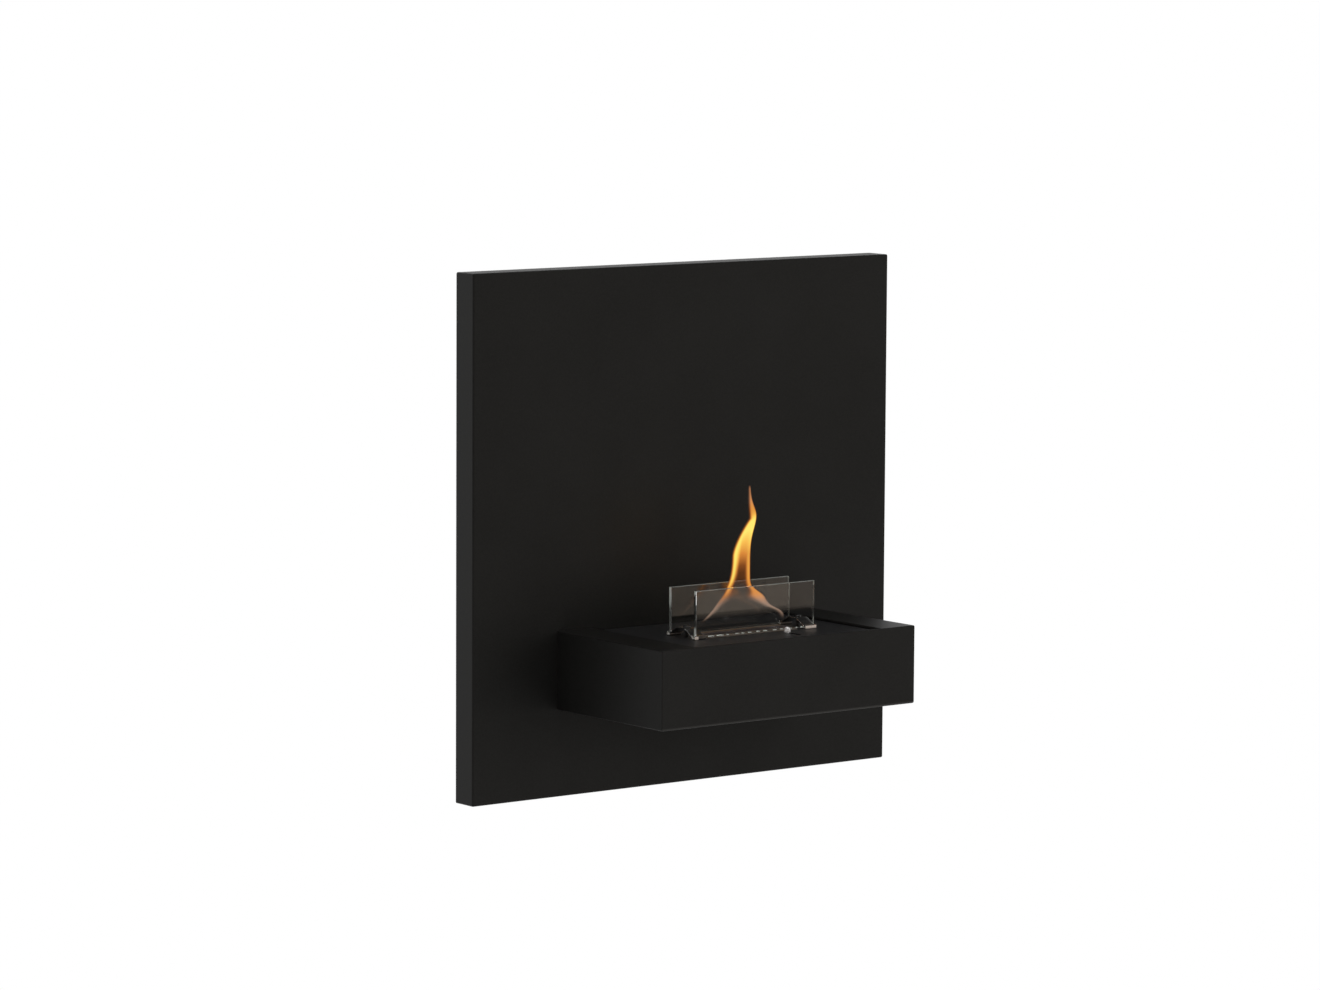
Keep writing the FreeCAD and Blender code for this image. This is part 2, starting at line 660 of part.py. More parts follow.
def burner_mesh():
    """Perforated plate that lies on the fibre block."""
    top = FIBRE_TOP + MESH_SHEET
    mesh = tank_filling(FIBRE_TOP, top)
    edge = TANK_WALL + FIBRE_PLAY + MESH_EDGE
    half_w = MESH_SLOT_W / 2
    slots = []
    for x in spread(2 * (TANK_HALF_L - edge), MESH_PITCH_X, MESH_SLOT_L):
        for dy in spread(2 * (TANK_HALF_W - edge), MESH_PITCH_Y, MESH_SLOT_W):
            y = BURNER_Y + dy
            slots.append(plate(MESH_SLOT_L / 2, y - half_w, y + half_w, 0, FIBRE_TOP, top, x))
    return mesh.cut(group(slots))


def glass_pane(offset):
    """Upright pane with ground edges."""
    y = BURNER_Y + offset
    half = GLASS_W / 2
    top = GLASS_FOOT + GLASS_H
    outline = [(-half, GLASS_FOOT), (half, GLASS_FOOT), (half, top), (-half, top)]
    pane = along_y(outline, [0] * 4, y - GLASS_T / 2, y + GLASS_T / 2)
    rims = [e for e in pane.Edges if e.BoundBox.YLength < GLASS_T / 2]
    return pane.makeChamfer(GLASS_ARRIS, rims)


def glass_holder(side):
    """Hat-shaped strip whose two feet are channels for the panes."""
    outer = (GLASS_PITCH + GLASS_T) / 2 + GLASS_PLAY + HOLDER_SHEET
    inner = (GLASS_PITCH - GLASS_T) / 2 - GLASS_PLAY - HOLDER_SHEET
    crown = HOLDER_CROWN - HOLDER_SHEET
    half_path = [
        (outer, HOLDER_LIP),
        (outer, 0.0),
        (inner, 0.0),
        (inner, HOLDER_RISER),
        (HOLDER_CROWN_W / 2, crown),
    ]
    path = [(BURNER_Y - u, DECK_TOP + v) for u, v in half_path]
    path += [(BURNER_Y + u, DECK_TOP + v) for u, v in reversed(half_path)]
    x0 = side * HOLDER_X - HOLDER_W / 2
    holder = along_x(*bent_strip(path, HOLDER_SHEET), x0, x0 + HOLDER_W)
    return holder.cut(holder_screw_holes(SCREW_R + BOLT_PLAY, DECK_TOP + crown, DECK_TOP + HOLDER_CROWN))


def holder_screws():
    """Domed screws through the holders' crowns into the tapped guides."""
    seat = DECK_TOP + HOLDER_CROWN
    profile = [
        (SCREW_R, TANK_TOP + SHUTTER_PLAY),
        (SCREW_R, seat),
        (SCREW_HEAD_R, seat),
        (SCREW_HEAD_R, seat + SCREW_RIM_H),
        (SCREW_CROWN_R, seat + SCREW_HEAD_H),
    ]
    return group([turned(profile, side * HOLDER_X, BURNER_Y) for side in SIDES.values()])


def glass_pads():
    """Heat-proof pads under the panes, in the holders' feet."""
    low = DECK_TOP + HOLDER_SHEET
    half = GLASS_T / 2 + GLASS_PLAY - BEND_R
    pads = []
    for side in SIDES.values():
        for offset in GLASS_OFFSETS.values():
            y = BURNER_Y + offset
            x0 = side * HOLDER_X - HOLDER_W / 2
            pads.append(block(x0, x0 + HOLDER_W, y - half, y + half, low, GLASS_FOOT))
    return group(pads)


def build():
    """Every node of the fireplace by name."""
    nodes = {
        "wall_rail": wall_rail(),
        "hanging_rail": hanging_rail(),
        "wall_bumpers": wall_bumpers(),
        "back_panel": back_panel(),
        "burner_casing": burner_casing(),
        "casing_bolts": casing_bolts(),
        "casing_nuts": casing_nuts(),
        "deck_front_angle": deck_front_angle(),
        "deck_plate": deck_plate(),
        "deck_studs": deck_studs(),
        "burner_nuts": burner_nuts(),
        "burner_cover": burner_cover(),
        "shutter_leaf": shutter_leaf(),
        "shutter_knob": shutter_knob(),
        "burner_tank": burner_tank(),
        "overflow_tray": overflow_tray(),
        "fibre_block": fibre_block(),
        "burner_mesh": burner_mesh(),
        "holder_screws": holder_screws(),
        "glass_pads": glass_pads(),
    }
    for name, side in SIDES.items():
        nodes["panel_stiffener_" + name] = panel_stiffener(side)
        nodes["shutter_guide_" + name] = shutter_guide(side)
        nodes["glass_holder_" + name] = glass_holder(side)
    for name, offset in GLASS_OFFSETS.items():
        nodes["glass_" + name] = glass_pane(offset)
    return nodes


def main():
    os.makedirs("parts", exist_ok=True)
    for name, shape in build().items():
        shape.exportStep(os.path.join("parts", name + ".step"))


main()
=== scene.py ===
"""Dresses the wall-mounted ethanol fireplace: finishes for its sheet metal, burner, fittings and panes, bent
holders, turned screws and knob, the flame over the burner slot, and a plain studio with the photo's camera."""
import math

import bpy
import numpy as np
from bpy.props import FloatProperty, FloatVectorProperty, IntProperty, PointerProperty
from mathutils import Matrix, Vector


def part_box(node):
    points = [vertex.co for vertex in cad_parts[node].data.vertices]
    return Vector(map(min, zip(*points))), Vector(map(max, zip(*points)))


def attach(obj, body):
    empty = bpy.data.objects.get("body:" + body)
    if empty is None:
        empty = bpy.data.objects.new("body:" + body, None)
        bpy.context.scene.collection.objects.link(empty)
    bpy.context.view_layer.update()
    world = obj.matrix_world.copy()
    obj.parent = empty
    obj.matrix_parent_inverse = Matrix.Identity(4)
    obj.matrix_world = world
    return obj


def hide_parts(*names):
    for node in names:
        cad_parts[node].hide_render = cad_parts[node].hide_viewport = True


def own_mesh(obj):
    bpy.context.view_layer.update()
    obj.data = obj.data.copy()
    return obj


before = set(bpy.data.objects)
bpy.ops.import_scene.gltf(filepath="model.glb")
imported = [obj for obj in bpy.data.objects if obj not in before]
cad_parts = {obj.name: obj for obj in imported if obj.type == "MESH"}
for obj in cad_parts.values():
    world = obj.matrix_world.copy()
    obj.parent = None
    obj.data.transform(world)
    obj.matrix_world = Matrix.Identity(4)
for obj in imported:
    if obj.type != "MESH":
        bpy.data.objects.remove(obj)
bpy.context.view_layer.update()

bl_info = {
    "name": "Wall Fireplace Dresser",
    "version": (1, 0, 0),
    "blender": (4, 5, 0),
    "location": "3D View > Sidebar > Fireplace",
    "description": "Finishes, flame and studio for a wall-mounted ethanol fireplace",
    "category": "Object",
}

MM = 0.001
WHITE = (1.0, 1.0, 1.0, 1.0)
BLACK = (0.0, 0.0, 0.0, 1.0)
SHARP_TURN = math.radians(38.0)  # folds steeper than this stay sharp under smooth shading

COVER_LOW, COVER_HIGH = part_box("burner_cover")
PANE_LOW, PANE_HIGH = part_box("glass_front")
SCREW_LOW, SCREW_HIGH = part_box("holder_screws")
KNOB_LOW, KNOB_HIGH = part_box("shutter_knob")
PANEL_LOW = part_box("back_panel")[0]
CASING_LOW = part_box("burner_casing")[0]
DECK_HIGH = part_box("deck_plate")[1]
BURNER_MID = (COVER_LOW + COVER_HIGH) / 2


class Wire:
    """A node's output. Arithmetic on it adds Math nodes, and node() adds any other."""

    def __init__(self, tree, socket=None):
        self.tree = tree
        self.socket = socket

    def node(self, kind, settings=None, sockets=None, out=0):
        """Adds a node: its settings first, then the values or links of its sockets; gives one output."""
        made = self.tree.nodes.new(kind)
        for name, value in (settings or {}).items():
            if name == "stops":
                self.set_stops(made.color_ramp, value)
            else:
                setattr(made, name, value)
        for name, value in (sockets or {}).items():
            if isinstance(value, Wire):
                self.tree.links.new(value.socket, made.inputs[name])
            else:
                made.inputs[name].default_value = value
        return Wire(self.tree, made.outputs[out] if len(made.outputs) else None)

    @staticmethod
    def set_stops(ramp, stops):
        """Gives a colour ramp its stops, each a position and a colour."""
        while len(ramp.elements) < len(stops):
            ramp.elements.new(1.0)
        for element, (position, colour) in zip(ramp.elements, stops):
            element.position = position
            element.color = (*colour, 1.0)

    def split(self):
        """The X, Y and Z of this vector."""
        parts = self.node("ShaderNodeSeparateXYZ", None, {"Vector": self}).socket.node.outputs
        return [Wire(self.tree, part) for part in parts]

    def rays(self, *kinds):
        """One value for each kind of ray or depth that a Light Path node tells apart."""
        path = self.node("ShaderNodeLightPath").socket.node.outputs
        return [Wire(self.tree, path[kind]) for kind in kinds]

    def math(self, operation, *others):
        """A Math node on this value and the others."""
        values = dict(enumerate((self, *others)))
        return self.node("ShaderNodeMath", {"operation": operation}, values)

    def __add__(self, other):
        return self.math("ADD", other)

    def __sub__(self, other):
        return self.math("SUBTRACT", other)

    def __mul__(self, other):
        return self.math("MULTIPLY", other)

    def __truediv__(self, other):
        return self.math("DIVIDE", other)

    def __rsub__(self, other):
        return self.node("ShaderNodeMath", {"operation": "SUBTRACT"}, {0: other, 1: self})

    __radd__ = __add__
    __rmul__ = __mul__

    def ramp(self, low, high):
        """0 below low and 1 above high, smooth between."""
        sockets = {"Value": self, "From Min": low, "From Max": high}
        return self.node("ShaderNodeMapRange", {"interpolation_type": "SMOOTHSTEP"}, sockets)

    def fall(self, low, high):
        """1 below low and 0 above high, smooth between."""
        return 1.0 - self.ramp(low, high)

    def tint(self, first, second):
        """The first colour where this value is 0 and the second where it is 1."""
        sockets = {0: self, 6: first, 7: second}
        return self.node("ShaderNodeMix", {"data_type": "RGBA"}, sockets, 2)


def rgba(colour):
    """A colour with its alpha of 1."""
    return (*colour[:3], 1.0)


def grey(level):
    """A grey with its alpha of 1."""
    return (level, level, level, 1.0)


def shade(colour, share):
    """A colour made lighter or darker by a share."""
    return tuple(min(1.0, c * share) for c in colour[:3]) + (1.0,)


def noise(place, scale, detail=2.0, stretch=None, rough=0.5):
    """Cloudy values about 0.5, so many per metre, drawn out along an axis where stretch says so."""
    if stretch:
        place = place.node("ShaderNodeMapping", None, {"Vector": place, "Scale": stretch})
    sockets = {"Vector": place, "Scale": scale, "Detail": detail, "Roughness": rough}
    return place.node("ShaderNodeTexNoise", None, sockets)


def cells(place, scale):
    """One random value for each crystal or grain, so many per metre."""
    return place.node("ShaderNodeTexVoronoi", None, {"Vector": place, "Scale": scale}, 1)


def bump(height, depth):
    """A normal that rises and falls with a height, depth metres from 0 to 1."""
    return height.node("ShaderNodeBump", None, {"Height": height, "Distance": depth, "Strength": 1.0})


def start_finish(name):
    """A new material's tree, and its Object coordinates."""
    material = bpy.data.materials.new(name)
    material.use_nodes = True
    material.node_tree.nodes.clear()
    root = Wire(material.node_tree)
    return material, root, root.node("ShaderNodeTexCoord", out="Object")


def end_finish(root, **sockets):
    """Closes a tree with one surface shader."""
    names = {key.replace("_", " "): value for key, value in sockets.items()}
    shader = root.node("ShaderNodeBsdfPrincipled", None, names)
    root.node("ShaderNodeOutputMaterial", None, {"Surface": shader})


def mix_shaders(share, first, second):
    """The first shader where the share is 0 and the second where it is 1."""
    return share.node("ShaderNodeMixShader", None, {0: share, 1: first, 2: second})


def dress(material, *names):
    """Gives a finish to CAD pieces by name."""
    for name in names:
        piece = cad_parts[name]
        if not piece.material_slots:
            raise RuntimeError("no material slot on " + name)
        for slot in piece.material_slots:
            slot.material = material


def powder_coat(name, colour, roughness, peel, depth, gloss, painted_highlight=0.0):
    """Baked powder coat: an orange-peel skin over fine grit, with faint clouds in colour and gloss.

    A pale painted highlight can lie along the box's lower front edge, stronger towards the right."""
    material, root, place = start_finish(name)
    x, y, z = place.split()
    # painted highlight: a pale line along the box's lower front edge, brighter towards the right
    hem_highlight = z.fall(CASING_LOW.z + 1.6 * MM, CASING_LOW.z + 2.8 * MM)
    hem_highlight = hem_highlight * y.fall(CASING_LOW.y + 0.4 * MM, CASING_LOW.y + 1.4 * MM) * (0.88 + x * 0.7) * painted_highlight
    skin = noise(place, 1.0 / peel, 1.0) * 0.75 + noise(place, 6.0 / peel, 2.0) * 0.25
    clouds = noise(place, 11.0, 4.0)
    mottle = noise(place, 0.9 / peel, 3.0, rough=0.7)
    flecks = noise(place, 1400.0, 1.0).ramp(0.62, 0.74)
    base = (clouds * 0.3 + mottle * 0.7).ramp(0.3, 0.7).tint(shade(colour, 0.84), shade(colour, 1.16))
    speckled = (flecks * 0.35).tint(base, shade(colour, 2.2))
    end_finish(
        root,
        Base_Color=hem_highlight.tint(speckled, shade(colour, 2.7)),
        Roughness=roughness + (clouds - 0.5) * 0.06 + (mottle - 0.5) * 0.08 + (flecks - 0.2) * 0.05,
        Specular_IOR_Level=gloss,
        Normal=bump(skin, depth),
    )
    return material


def rolled_steel(name, colour, roughness, grain):
    """Rolled and brushed stainless steel: long fine grain along X, faint smears, a few scratches."""
    material, root, place = start_finish(name)
    lines = noise(place, grain, 2.0, (0.02, 1.0, 1.0))
    smears = noise(place, 38.0, 3.0)
    scratch = noise(place, 210.0, 1.0, (0.05, 1.0, 0.6)).ramp(0.68, 0.72)
    end_finish(
        root,
        Base_Color=(lines * 0.6 + smears * 0.4).tint(shade(colour, 0.78), shade(colour, 1.1)),
        Metallic=1.0,
        Roughness=roughness + (lines - 0.5) * 0.16 + (smears - 0.5) * 0.2 - scratch * 0.08,
        Normal=bump(lines * 0.8 + scratch * 0.2, 0.02 * MM),
    )
    return material


def polished_steel(name, colour, roughness, metal=1.0, lip_reflection=0.0):
    """Polished steel: bright, with hairline wiping marks and dull smears; half diffuse like blasted steel where
    metal is less, so that a pale colour there also shows as a painted highlight.

    On the front lips, at the right holder and at the left one's outer end, a painted warm reflection of the
    flame lies on a rougher, less metallic patch."""
    material, root, place = start_finish(name)
    x, y, z = place.split()
    # painted reflection: a warm pale patch on the front lips stands in for the flame's reflection
    lips = z.fall(DECK_HIGH.z + 3.6 * MM, DECK_HIGH.z + 4.2 * MM)
    lips = lips * y.fall(PANE_LOW.y - 1.1 * MM, PANE_LOW.y - 0.7 * MM)
    dull = lips * (x.ramp(70.0 * MM, 73.0 * MM) + x.fall(-84.0 * MM, -82.0 * MM)) * lip_reflection
    hairs = noise(place, 900.0, 2.0, (0.3, 0.06, 1.0))
    smears = noise(place, 95.0, 3.0)
    bright = smears.ramp(0.3, 0.75).tint(shade(colour, 0.9), shade(colour, 1.04))
    # warm pale colour of the painted flame reflection
    satin_painted_light = (1.0, 0.86, 0.75, 1.0)
    end_finish(
        root,
        Base_Color=dull.tint(bright, satin_painted_light),
        Metallic=metal - dull * 0.8,
        Roughness=roughness + smears.ramp(0.45, 0.8) * 0.09 + (hairs - 0.5) * 0.06 + dull * 0.2,
        Normal=bump(hairs, 0.006 * MM),
    )
    return material


def zinc_plate(name, colour, roughness):
    """Zinc plating: small crystals that differ in tone, a dull cloudy bloom and pin-point pits."""
    material, root, place = start_finish(name)
    crystal = cells(place, 420.0)
    bloom = noise(place, 55.0, 4.0)
    pits = noise(place, 1900.0, 1.0).ramp(0.7, 0.8)
    end_finish(
        root,
        Base_Color=(crystal * 0.5 + bloom * 0.5).tint(shade(colour, 0.72), shade(colour, 1.12)),
        Metallic=1.0,
        Roughness=roughness + (bloom - 0.5) * 0.3 + pits * 0.15,
        Normal=bump(crystal * 0.4 - pits * 0.6, 0.03 * MM),
    )
    return material


def heat_tint_and_flame_glow(name, colour, tint, roughness):
    """Burner steel coloured by heat and by a painted warm glow of the flame's light: straw, then brown, then
    blue-grey scale towards the flame slot.
    """
    material, root, place = start_finish(name)
    across = (place.split()[1] - BURNER_MID.y).math("ABSOLUTE")
    clouds = noise(place, 120.0, 4.0)
    grain = noise(place, 1500.0, 2.0, (0.04, 1.0, 1.0))
    # heat tint and painted flame glow, strongest next to the slot
    heat = (across / (20.0 * MM) + (clouds - 0.5) * 0.5).fall(0.3, 1.15)
    scale = (0.09, 0.085, 0.1)
    stops = [(0.0, colour), (0.45, tint), (0.75, shade(tint, 0.55)[:3]), (1.0, scale)]
    tint_and_glow = heat.node("ShaderNodeValToRGB", {"stops": stops}, {"Fac": heat})
    end_finish(
        root,
        Base_Color=(grain * 0.35).tint(tint_and_glow, rgba(tint)),
        Metallic=0.85 - heat * 0.35,
        Roughness=roughness + heat * 0.18 + (clouds - 0.5) * 0.2,
        Normal=bump(grain * 0.5 + clouds * 0.5, 0.03 * MM),
    )
    return material


def moulded_rubber(name, colour):
    """Moulded rubber: grey-black, finely pitted, a little bloomed where it was handled."""
    material, root, place = start_finish(name)
    pits = noise(place, 1600.0, 2.0)
    bloom = noise(place, 130.0, 3.0).ramp(0.4, 0.8)
    end_finish(
        root,
        Base_Color=bloom.tint(rgba(colour), shade(colour, 2.1)),
        Roughness=0.68 + bloom * 0.16 + (pits - 0.5) * 0.1,
        Specular_IOR_Level=0.3,
        Normal=bump(pits, 0.06 * MM),
    )
    return material


def fibre_wool(name, colour):
    """Pressed ceramic fibre: short crossed strands with scorched spots."""
    material, root, place = start_finish(name)
    along = noise(place, 1300.0, 3.0, (0.12, 1.0, 1.0))
    over = noise(place, 1300.0, 3.0, (1.0, 0.12, 1.0))
    strands = along.math("MAXIMUM", over)
    scorch = noise(place, 70.0, 3.0).ramp(0.55, 0.8)
    end_finish(
        root,
        Base_Color=(scorch * 0.6 + (1.0 - strands) * 0.3).tint(rgba(colour), shade(colour, 0.42)),
        Roughness=0.9 - strands * 0.1,
        Specular_IOR_Level=0.2,
        Normal=bump(strands, 0.25 * MM),
    )
    return material


def clear_pane(name, ior, edge_colour):
    """Clear glass with ground edges: faces that don't look along Y are edges, those halfway are arrises.

    The front pane's ends get painted highlights at the top and the foot, the rear one's over their upper half,
    as more frosting on the ground edges there, and the front pane's foot shows a row of bright dashes, painted
    glints. Light passes through the clear parts, so that the panes cast hardly any shadow."""
    material, root, place = start_finish(name)
    x, y, z = place.split()
    facing_x, facing_y, _ = root.node("ShaderNodeNewGeometry", out="True Normal").split()
    flat = facing_y.math("ABSOLUTE")
    ends = facing_x.math("ABSOLUTE").ramp(0.4, 0.7)
    edge = flat.fall(0.3, 0.5)
    arris = flat.ramp(0.3, 0.5) * flat.fall(0.85, 0.95)
    foot = z.fall(PANE_LOW.z + 0.9 * MM, PANE_LOW.z + 1.2 * MM)
    front = y.fall(BURNER_MID.y - MM, BURNER_MID.y + MM)
    up = (z - PANE_LOW.z) / (PANE_HIGH.z - PANE_LOW.z)
    # painted highlights: more frosting, so brighter ends, at the front pane's top and foot and the rear pane's
    # upper half
    front_highlight = up.ramp(0.88, 0.95) + up.fall(0.17, 0.26)
    rear_highlight = 0.2 + 0.8 * up.ramp(0.5, 0.68)
    painted_highlight = front * front_highlight + (1.0 - front) * rear_highlight
    wipes = noise(place, 24.0, 4.0)
    chips_and_glints = noise(place, 170.0, 3.0)
    # painted glints: bright dashes of frosting along the front pane's foot
    beat = x / (11.0 * MM) + noise(place, 70.0, 1.0, (1.0, 0.02, 0.02)) * 1.6
    glint = beat.math("FRACT")
    dashes = glint.ramp(0.0, 0.14) * glint.fall(0.38, 0.56) * chips_and_glints.ramp(0.2, 0.6) * front
    clear = root.node("ShaderNodeBsdfPrincipled", None, {
        "Base Color": (0.99, 1.0, 0.995, 1.0),
        "Roughness": wipes.ramp(0.55, 0.85) * 0.015,
        "IOR": ior,
        "Transmission Weight": 1.0,
    })
    ground = root.node("ShaderNodeBsdfPrincipled", None, {
        "Base Color": chips_and_glints.ramp(0.3, 0.75).tint(shade(edge_colour, 0.82), rgba(edge_colour)),
        "Roughness": 0.3 + chips_and_glints * 0.25,
        "IOR": ior,
        "Normal": bump(chips_and_glints, 0.02 * MM),
    })
    rim = edge * (0.24 + ends * (painted_highlight * 0.88 - 0.18)) + arris * (0.25 - ends * 0.15 * (1.0 - painted_highlight))
    frost_and_highlights = rim * (1.0 - foot) + foot * dashes
    light = root.node("ShaderNodeBsdfTransparent", None, {"Color": (0.94, 0.96, 0.94, 1.0)})
    shadow = root.rays("Is Shadow Ray")[0] * (1.0 - frost_and_highlights)
    surface = mix_shaders(shadow, mix_shaders(frost_and_highlights, clear, ground), light)
    root.node("ShaderNodeOutputMaterial", None, {"Surface": surface})
    return material


def flame_glow(name):
    """Burning gas: the flame's own heat and thickness attributes set what it emits and what shows through.

    It lights the pieces round it more strongly than a picture, which clips it, shows. Its legs and its tip
    are paler than the rest."""
    material, root, place = start_finish(name)
    heat = root.node("ShaderNodeAttribute", {"attribute_name": "warmth"}, None, "Fac")
    body = root.node("ShaderNodeAttribute", {"attribute_name": "thickness"}, None, "Fac")
    flicker = noise(place, 55.0, 3.0, (1.0, 1.0, 0.3))
    height = place.split()[2]
    thin = height.fall(DECK_HIGH.z + 26.0 * MM, DECK_HIGH.z + 46.0 * MM)
    thin = thin + height.ramp(DECK_HIGH.z + 138.0 * MM, DECK_HIGH.z + 152.0 * MM) * 0.2
    hot = heat + (flicker - 0.5) * 0.08
    stops = [
        (0.0, (0.05, 0.018, 0.006)),
        (0.25, (0.26, 0.075, 0.016)),
        (0.5, (0.70, 0.25, 0.045)),
        (0.75, (0.96, 0.52, 0.09)),
        (1.0, (1.0, 0.83, 0.17)),
    ]
    fire = hot.node("ShaderNodeValToRGB", {"stops": stops}, {"Fac": hot})
    straw = (0.68, 0.46, 0.34, 1.0)
    pale = (thin * 0.85).tint(fire, straw)
    camera, through = root.rays("Is Camera Ray", "Is Transmission Ray")
    power = 2.6 - camera.math("MAXIMUM", through) * 1.6
    end_finish(
        root,
        Base_Color=BLACK,
        Roughness=1.0,
        Specular_IOR_Level=0.0,
        Emission_Color=root.node("ShaderNodeVectorMath", {"operation": "SCALE"}, {0: pale, "Scale": power}),
        Emission_Strength=1.0,
        Alpha=body * (0.88 + flicker * 0.24),
    )
    return material


def grid_piece(name, shells, foot=True):
    """A mesh of one or more shells, each rows of points that run round a loop, with a pole at its last row.

    The first row has a pole too, unless foot says that it stays open."""
    points, faces, base = [], [], 0
    for rows in shells:
        count, columns, _ = rows.shape
        row = base + np.arange(count - 1)[:, None] * columns
        here = np.arange(columns)[None, :]
        there = (here + 1) % columns
        quads = np.stack([row + here, row + there, row + columns + there, row + columns + here], -1)
        faces += quads.reshape(-1, 4).tolist()
        points.append(rows.reshape(-1, 3))
        base += count * columns
        top = base - columns
        faces += np.stack([np.full(columns, base), top + here[0], top + there[0]], -1).tolist()
        points.append(rows[-1].mean(0, keepdims=True))
        base += 1
        if foot:
            low = top - (count - 1) * columns
            faces += np.stack([np.full(columns, base), low + there[0], low + here[0]], -1).tolist()
            points.append(rows[0].mean(0, keepdims=True))
            base += 1
    mesh = bpy.data.meshes.new(name)
    mesh.from_pydata(np.vstack(points).tolist(), [], faces)
    mesh.validate()
    mesh.update()
    piece = bpy.data.objects.new(name, mesh)
    bpy.context.scene.collection.objects.link(piece)
    return piece


def smooth(piece):
    """Smooth shading that keeps the sharp turns."""
    piece.data.polygons.foreach_set("use_smooth", np.ones(len(piece.data.polygons), bool))
    piece.data.set_sharp_from_angle(angle=SHARP_TURN)
    return piece


def turned_piece(name, profile, centres, columns, reach):
    """Turned pieces: a profile of (radius, height) rows about a vertical axis through each centre.

    Row i at angle a lies at radius r_i * w_i(a), where reach gives w, which is 1 for a round row."""
    angle = np.linspace(0.0, 2.0 * np.pi, columns, endpoint=False)
    radius = profile[:, :1] * reach(angle)
    height = np.repeat(profile[:, 1:], columns, 1)
    rows = np.stack([radius * np.cos(angle), radius * np.sin(angle), height], -1)
    return grid_piece(name, [rows + np.array(centre) for centre in centres])


def bent_line(corners, radius, steps=7, apart=0.06 * MM):
    """A line through corners, each inner one replaced by a curve that leaves its runs at the bend's radius.

    The curve is the parabola (1-t)^2 a + 2t(1-t) c + t^2 b between points a and b of the two runs. A point
    a little apart from either end of it keeps the runs flat under smooth shading."""
    before = corners[:-2] - corners[1:-1]
    after = corners[2:] - corners[1:-1]
    before /= np.linalg.norm(before, axis=1, keepdims=True)
    after /= np.linalg.norm(after, axis=1, keepdims=True)
    half = np.arccos(np.clip((before * after).sum(1), -1.0, 1.0)) / 2.0
    run = (radius / np.tan(half))[:, None, None]
    t = np.linspace(0.0, 1.0, steps)[None, :, None]
    corner = corners[1:-1, None, :]
    start = corner + before[:, None, :] * run
    stop = corner + after[:, None, :] * run
    curves = (1 - t) ** 2 * start + 2 * t * (1 - t) * corner + t ** 2 * stop
    flats = [side + way[:, None, :] * apart for side, way in ((start, before), (stop, after))]
    curves = np.concatenate([flats[0], curves, flats[1]], 1)
    return np.vstack([corners[:1], curves.reshape(-1, 2), corners[-1:]])


def rounded_section(width, thick, radius, steps=6):
    """A closed rectangle with its corners rounded: four quarter circles, joined by straight runs."""
    turn = np.linspace(0.0, np.pi / 2.0, steps)[None, :] + np.array([0.0, 0.5, 1.0, 1.5])[:, None] * np.pi
    across = np.array([1.0, -1.0, -1.0, 1.0])[:, None] * (width / 2.0 - radius) + radius * np.cos(turn)
    out = np.array([1.0, 1.0, -1.0, -1.0])[:, None] * (thick / 2.0 - radius) + radius * np.sin(turn)
    return np.stack([across.ravel(), out.ravel()], -1)


def strip_piece(name, line, section, x):
    """A strip: a section of (across, outwards) carried along a line in the YZ plane, out along its normal."""
    ahead = np.gradient(line, axis=0)
    ahead /= np.linalg.norm(ahead, axis=1, keepdims=True)
    normal = np.stack([-ahead[:, 1], ahead[:, 0]], -1)
    across = np.broadcast_to(x + section[:, 0], (len(line), len(section)))
    place = line[:, None, :] + normal[:, None, :] * section[None, :, 1:]
    return grid_piece(name, [np.stack([across, place[..., 0], place[..., 1]], -1)])


def rise(value):
    """The S-curve 1 / (1 + e^-value)."""
    return 1.0 / (1.0 + np.exp(-value))


def bell(value):
    """The bell curve e^-(value^2)."""
    return np.exp(-value ** 2)


def colour_setting(name, text, *default):
    """A colour in the sidebar's settings."""
    return FloatVectorProperty(name=name, description=text, subtype="COLOR", default=default)


def length_setting(name, text, millimetres):
    """A length in the settings."""
    return FloatProperty(name=name, description=text, unit="LENGTH", default=millimetres * MM)


def share_setting(name, text, default):
    """A share from 0 to 1 in the settings."""
    return FloatProperty(name=name, description=text, subtype="FACTOR", min=0.0, max=1.0, default=default)


def angle_setting(name, text, default):
    """An angle, in radians, in the settings."""
    return FloatProperty(name=name, description=text, subtype="ANGLE", default=default)


def light_setting(name, text, default, **unit):
    """A strength of light in the settings."""
    return FloatProperty(name=name, description=text, min=0.0, default=default, **unit)


class SheetMetalSettings(bpy.types.PropertyGroup):
    """The coats of the folded sheets."""
    panel_colour: colour_setting("Panel", "Colour of the panel's coat", 0.0124, 0.0121, 0.0113)
    casing_colour: colour_setting("Casing", "Colour of the burner box's coat", 0.0124, 0.0120, 0.0112)
    # the deck's lighter, bluish coat is partly its own tone and partly painted light from above
    deck_colour: colour_setting("Deck", "Colour of the deck's coat", 0.0195, 0.0196, 0.0206)
    roughness: share_setting("Roughness", "How matte the coats are", 0.46)
    gloss: share_setting("Gloss", "How strongly the coats mirror", 0.12)
    peel: length_setting("Peel size", "Size of the coat's waves", 2.2)
    depth: length_setting("Peel depth", "Height of the coat's waves", 0.03)


class BurnerSettings(bpy.types.PropertyGroup):
    """The burner's metals and wool."""
    steel_colour: colour_setting("Steel", "Colour of the bare stainless steel", 0.50, 0.48, 0.45)
    # the cover's tint colour also holds a painted warm glow of the flame's light
    tint_and_glow_colour: colour_setting("Heat tint", "Colour that heat gives the cover", 0.25, 0.16, 0.09)
    wool_colour: colour_setting("Wool", "Colour of the ceramic fibre", 0.78, 0.76, 0.71)


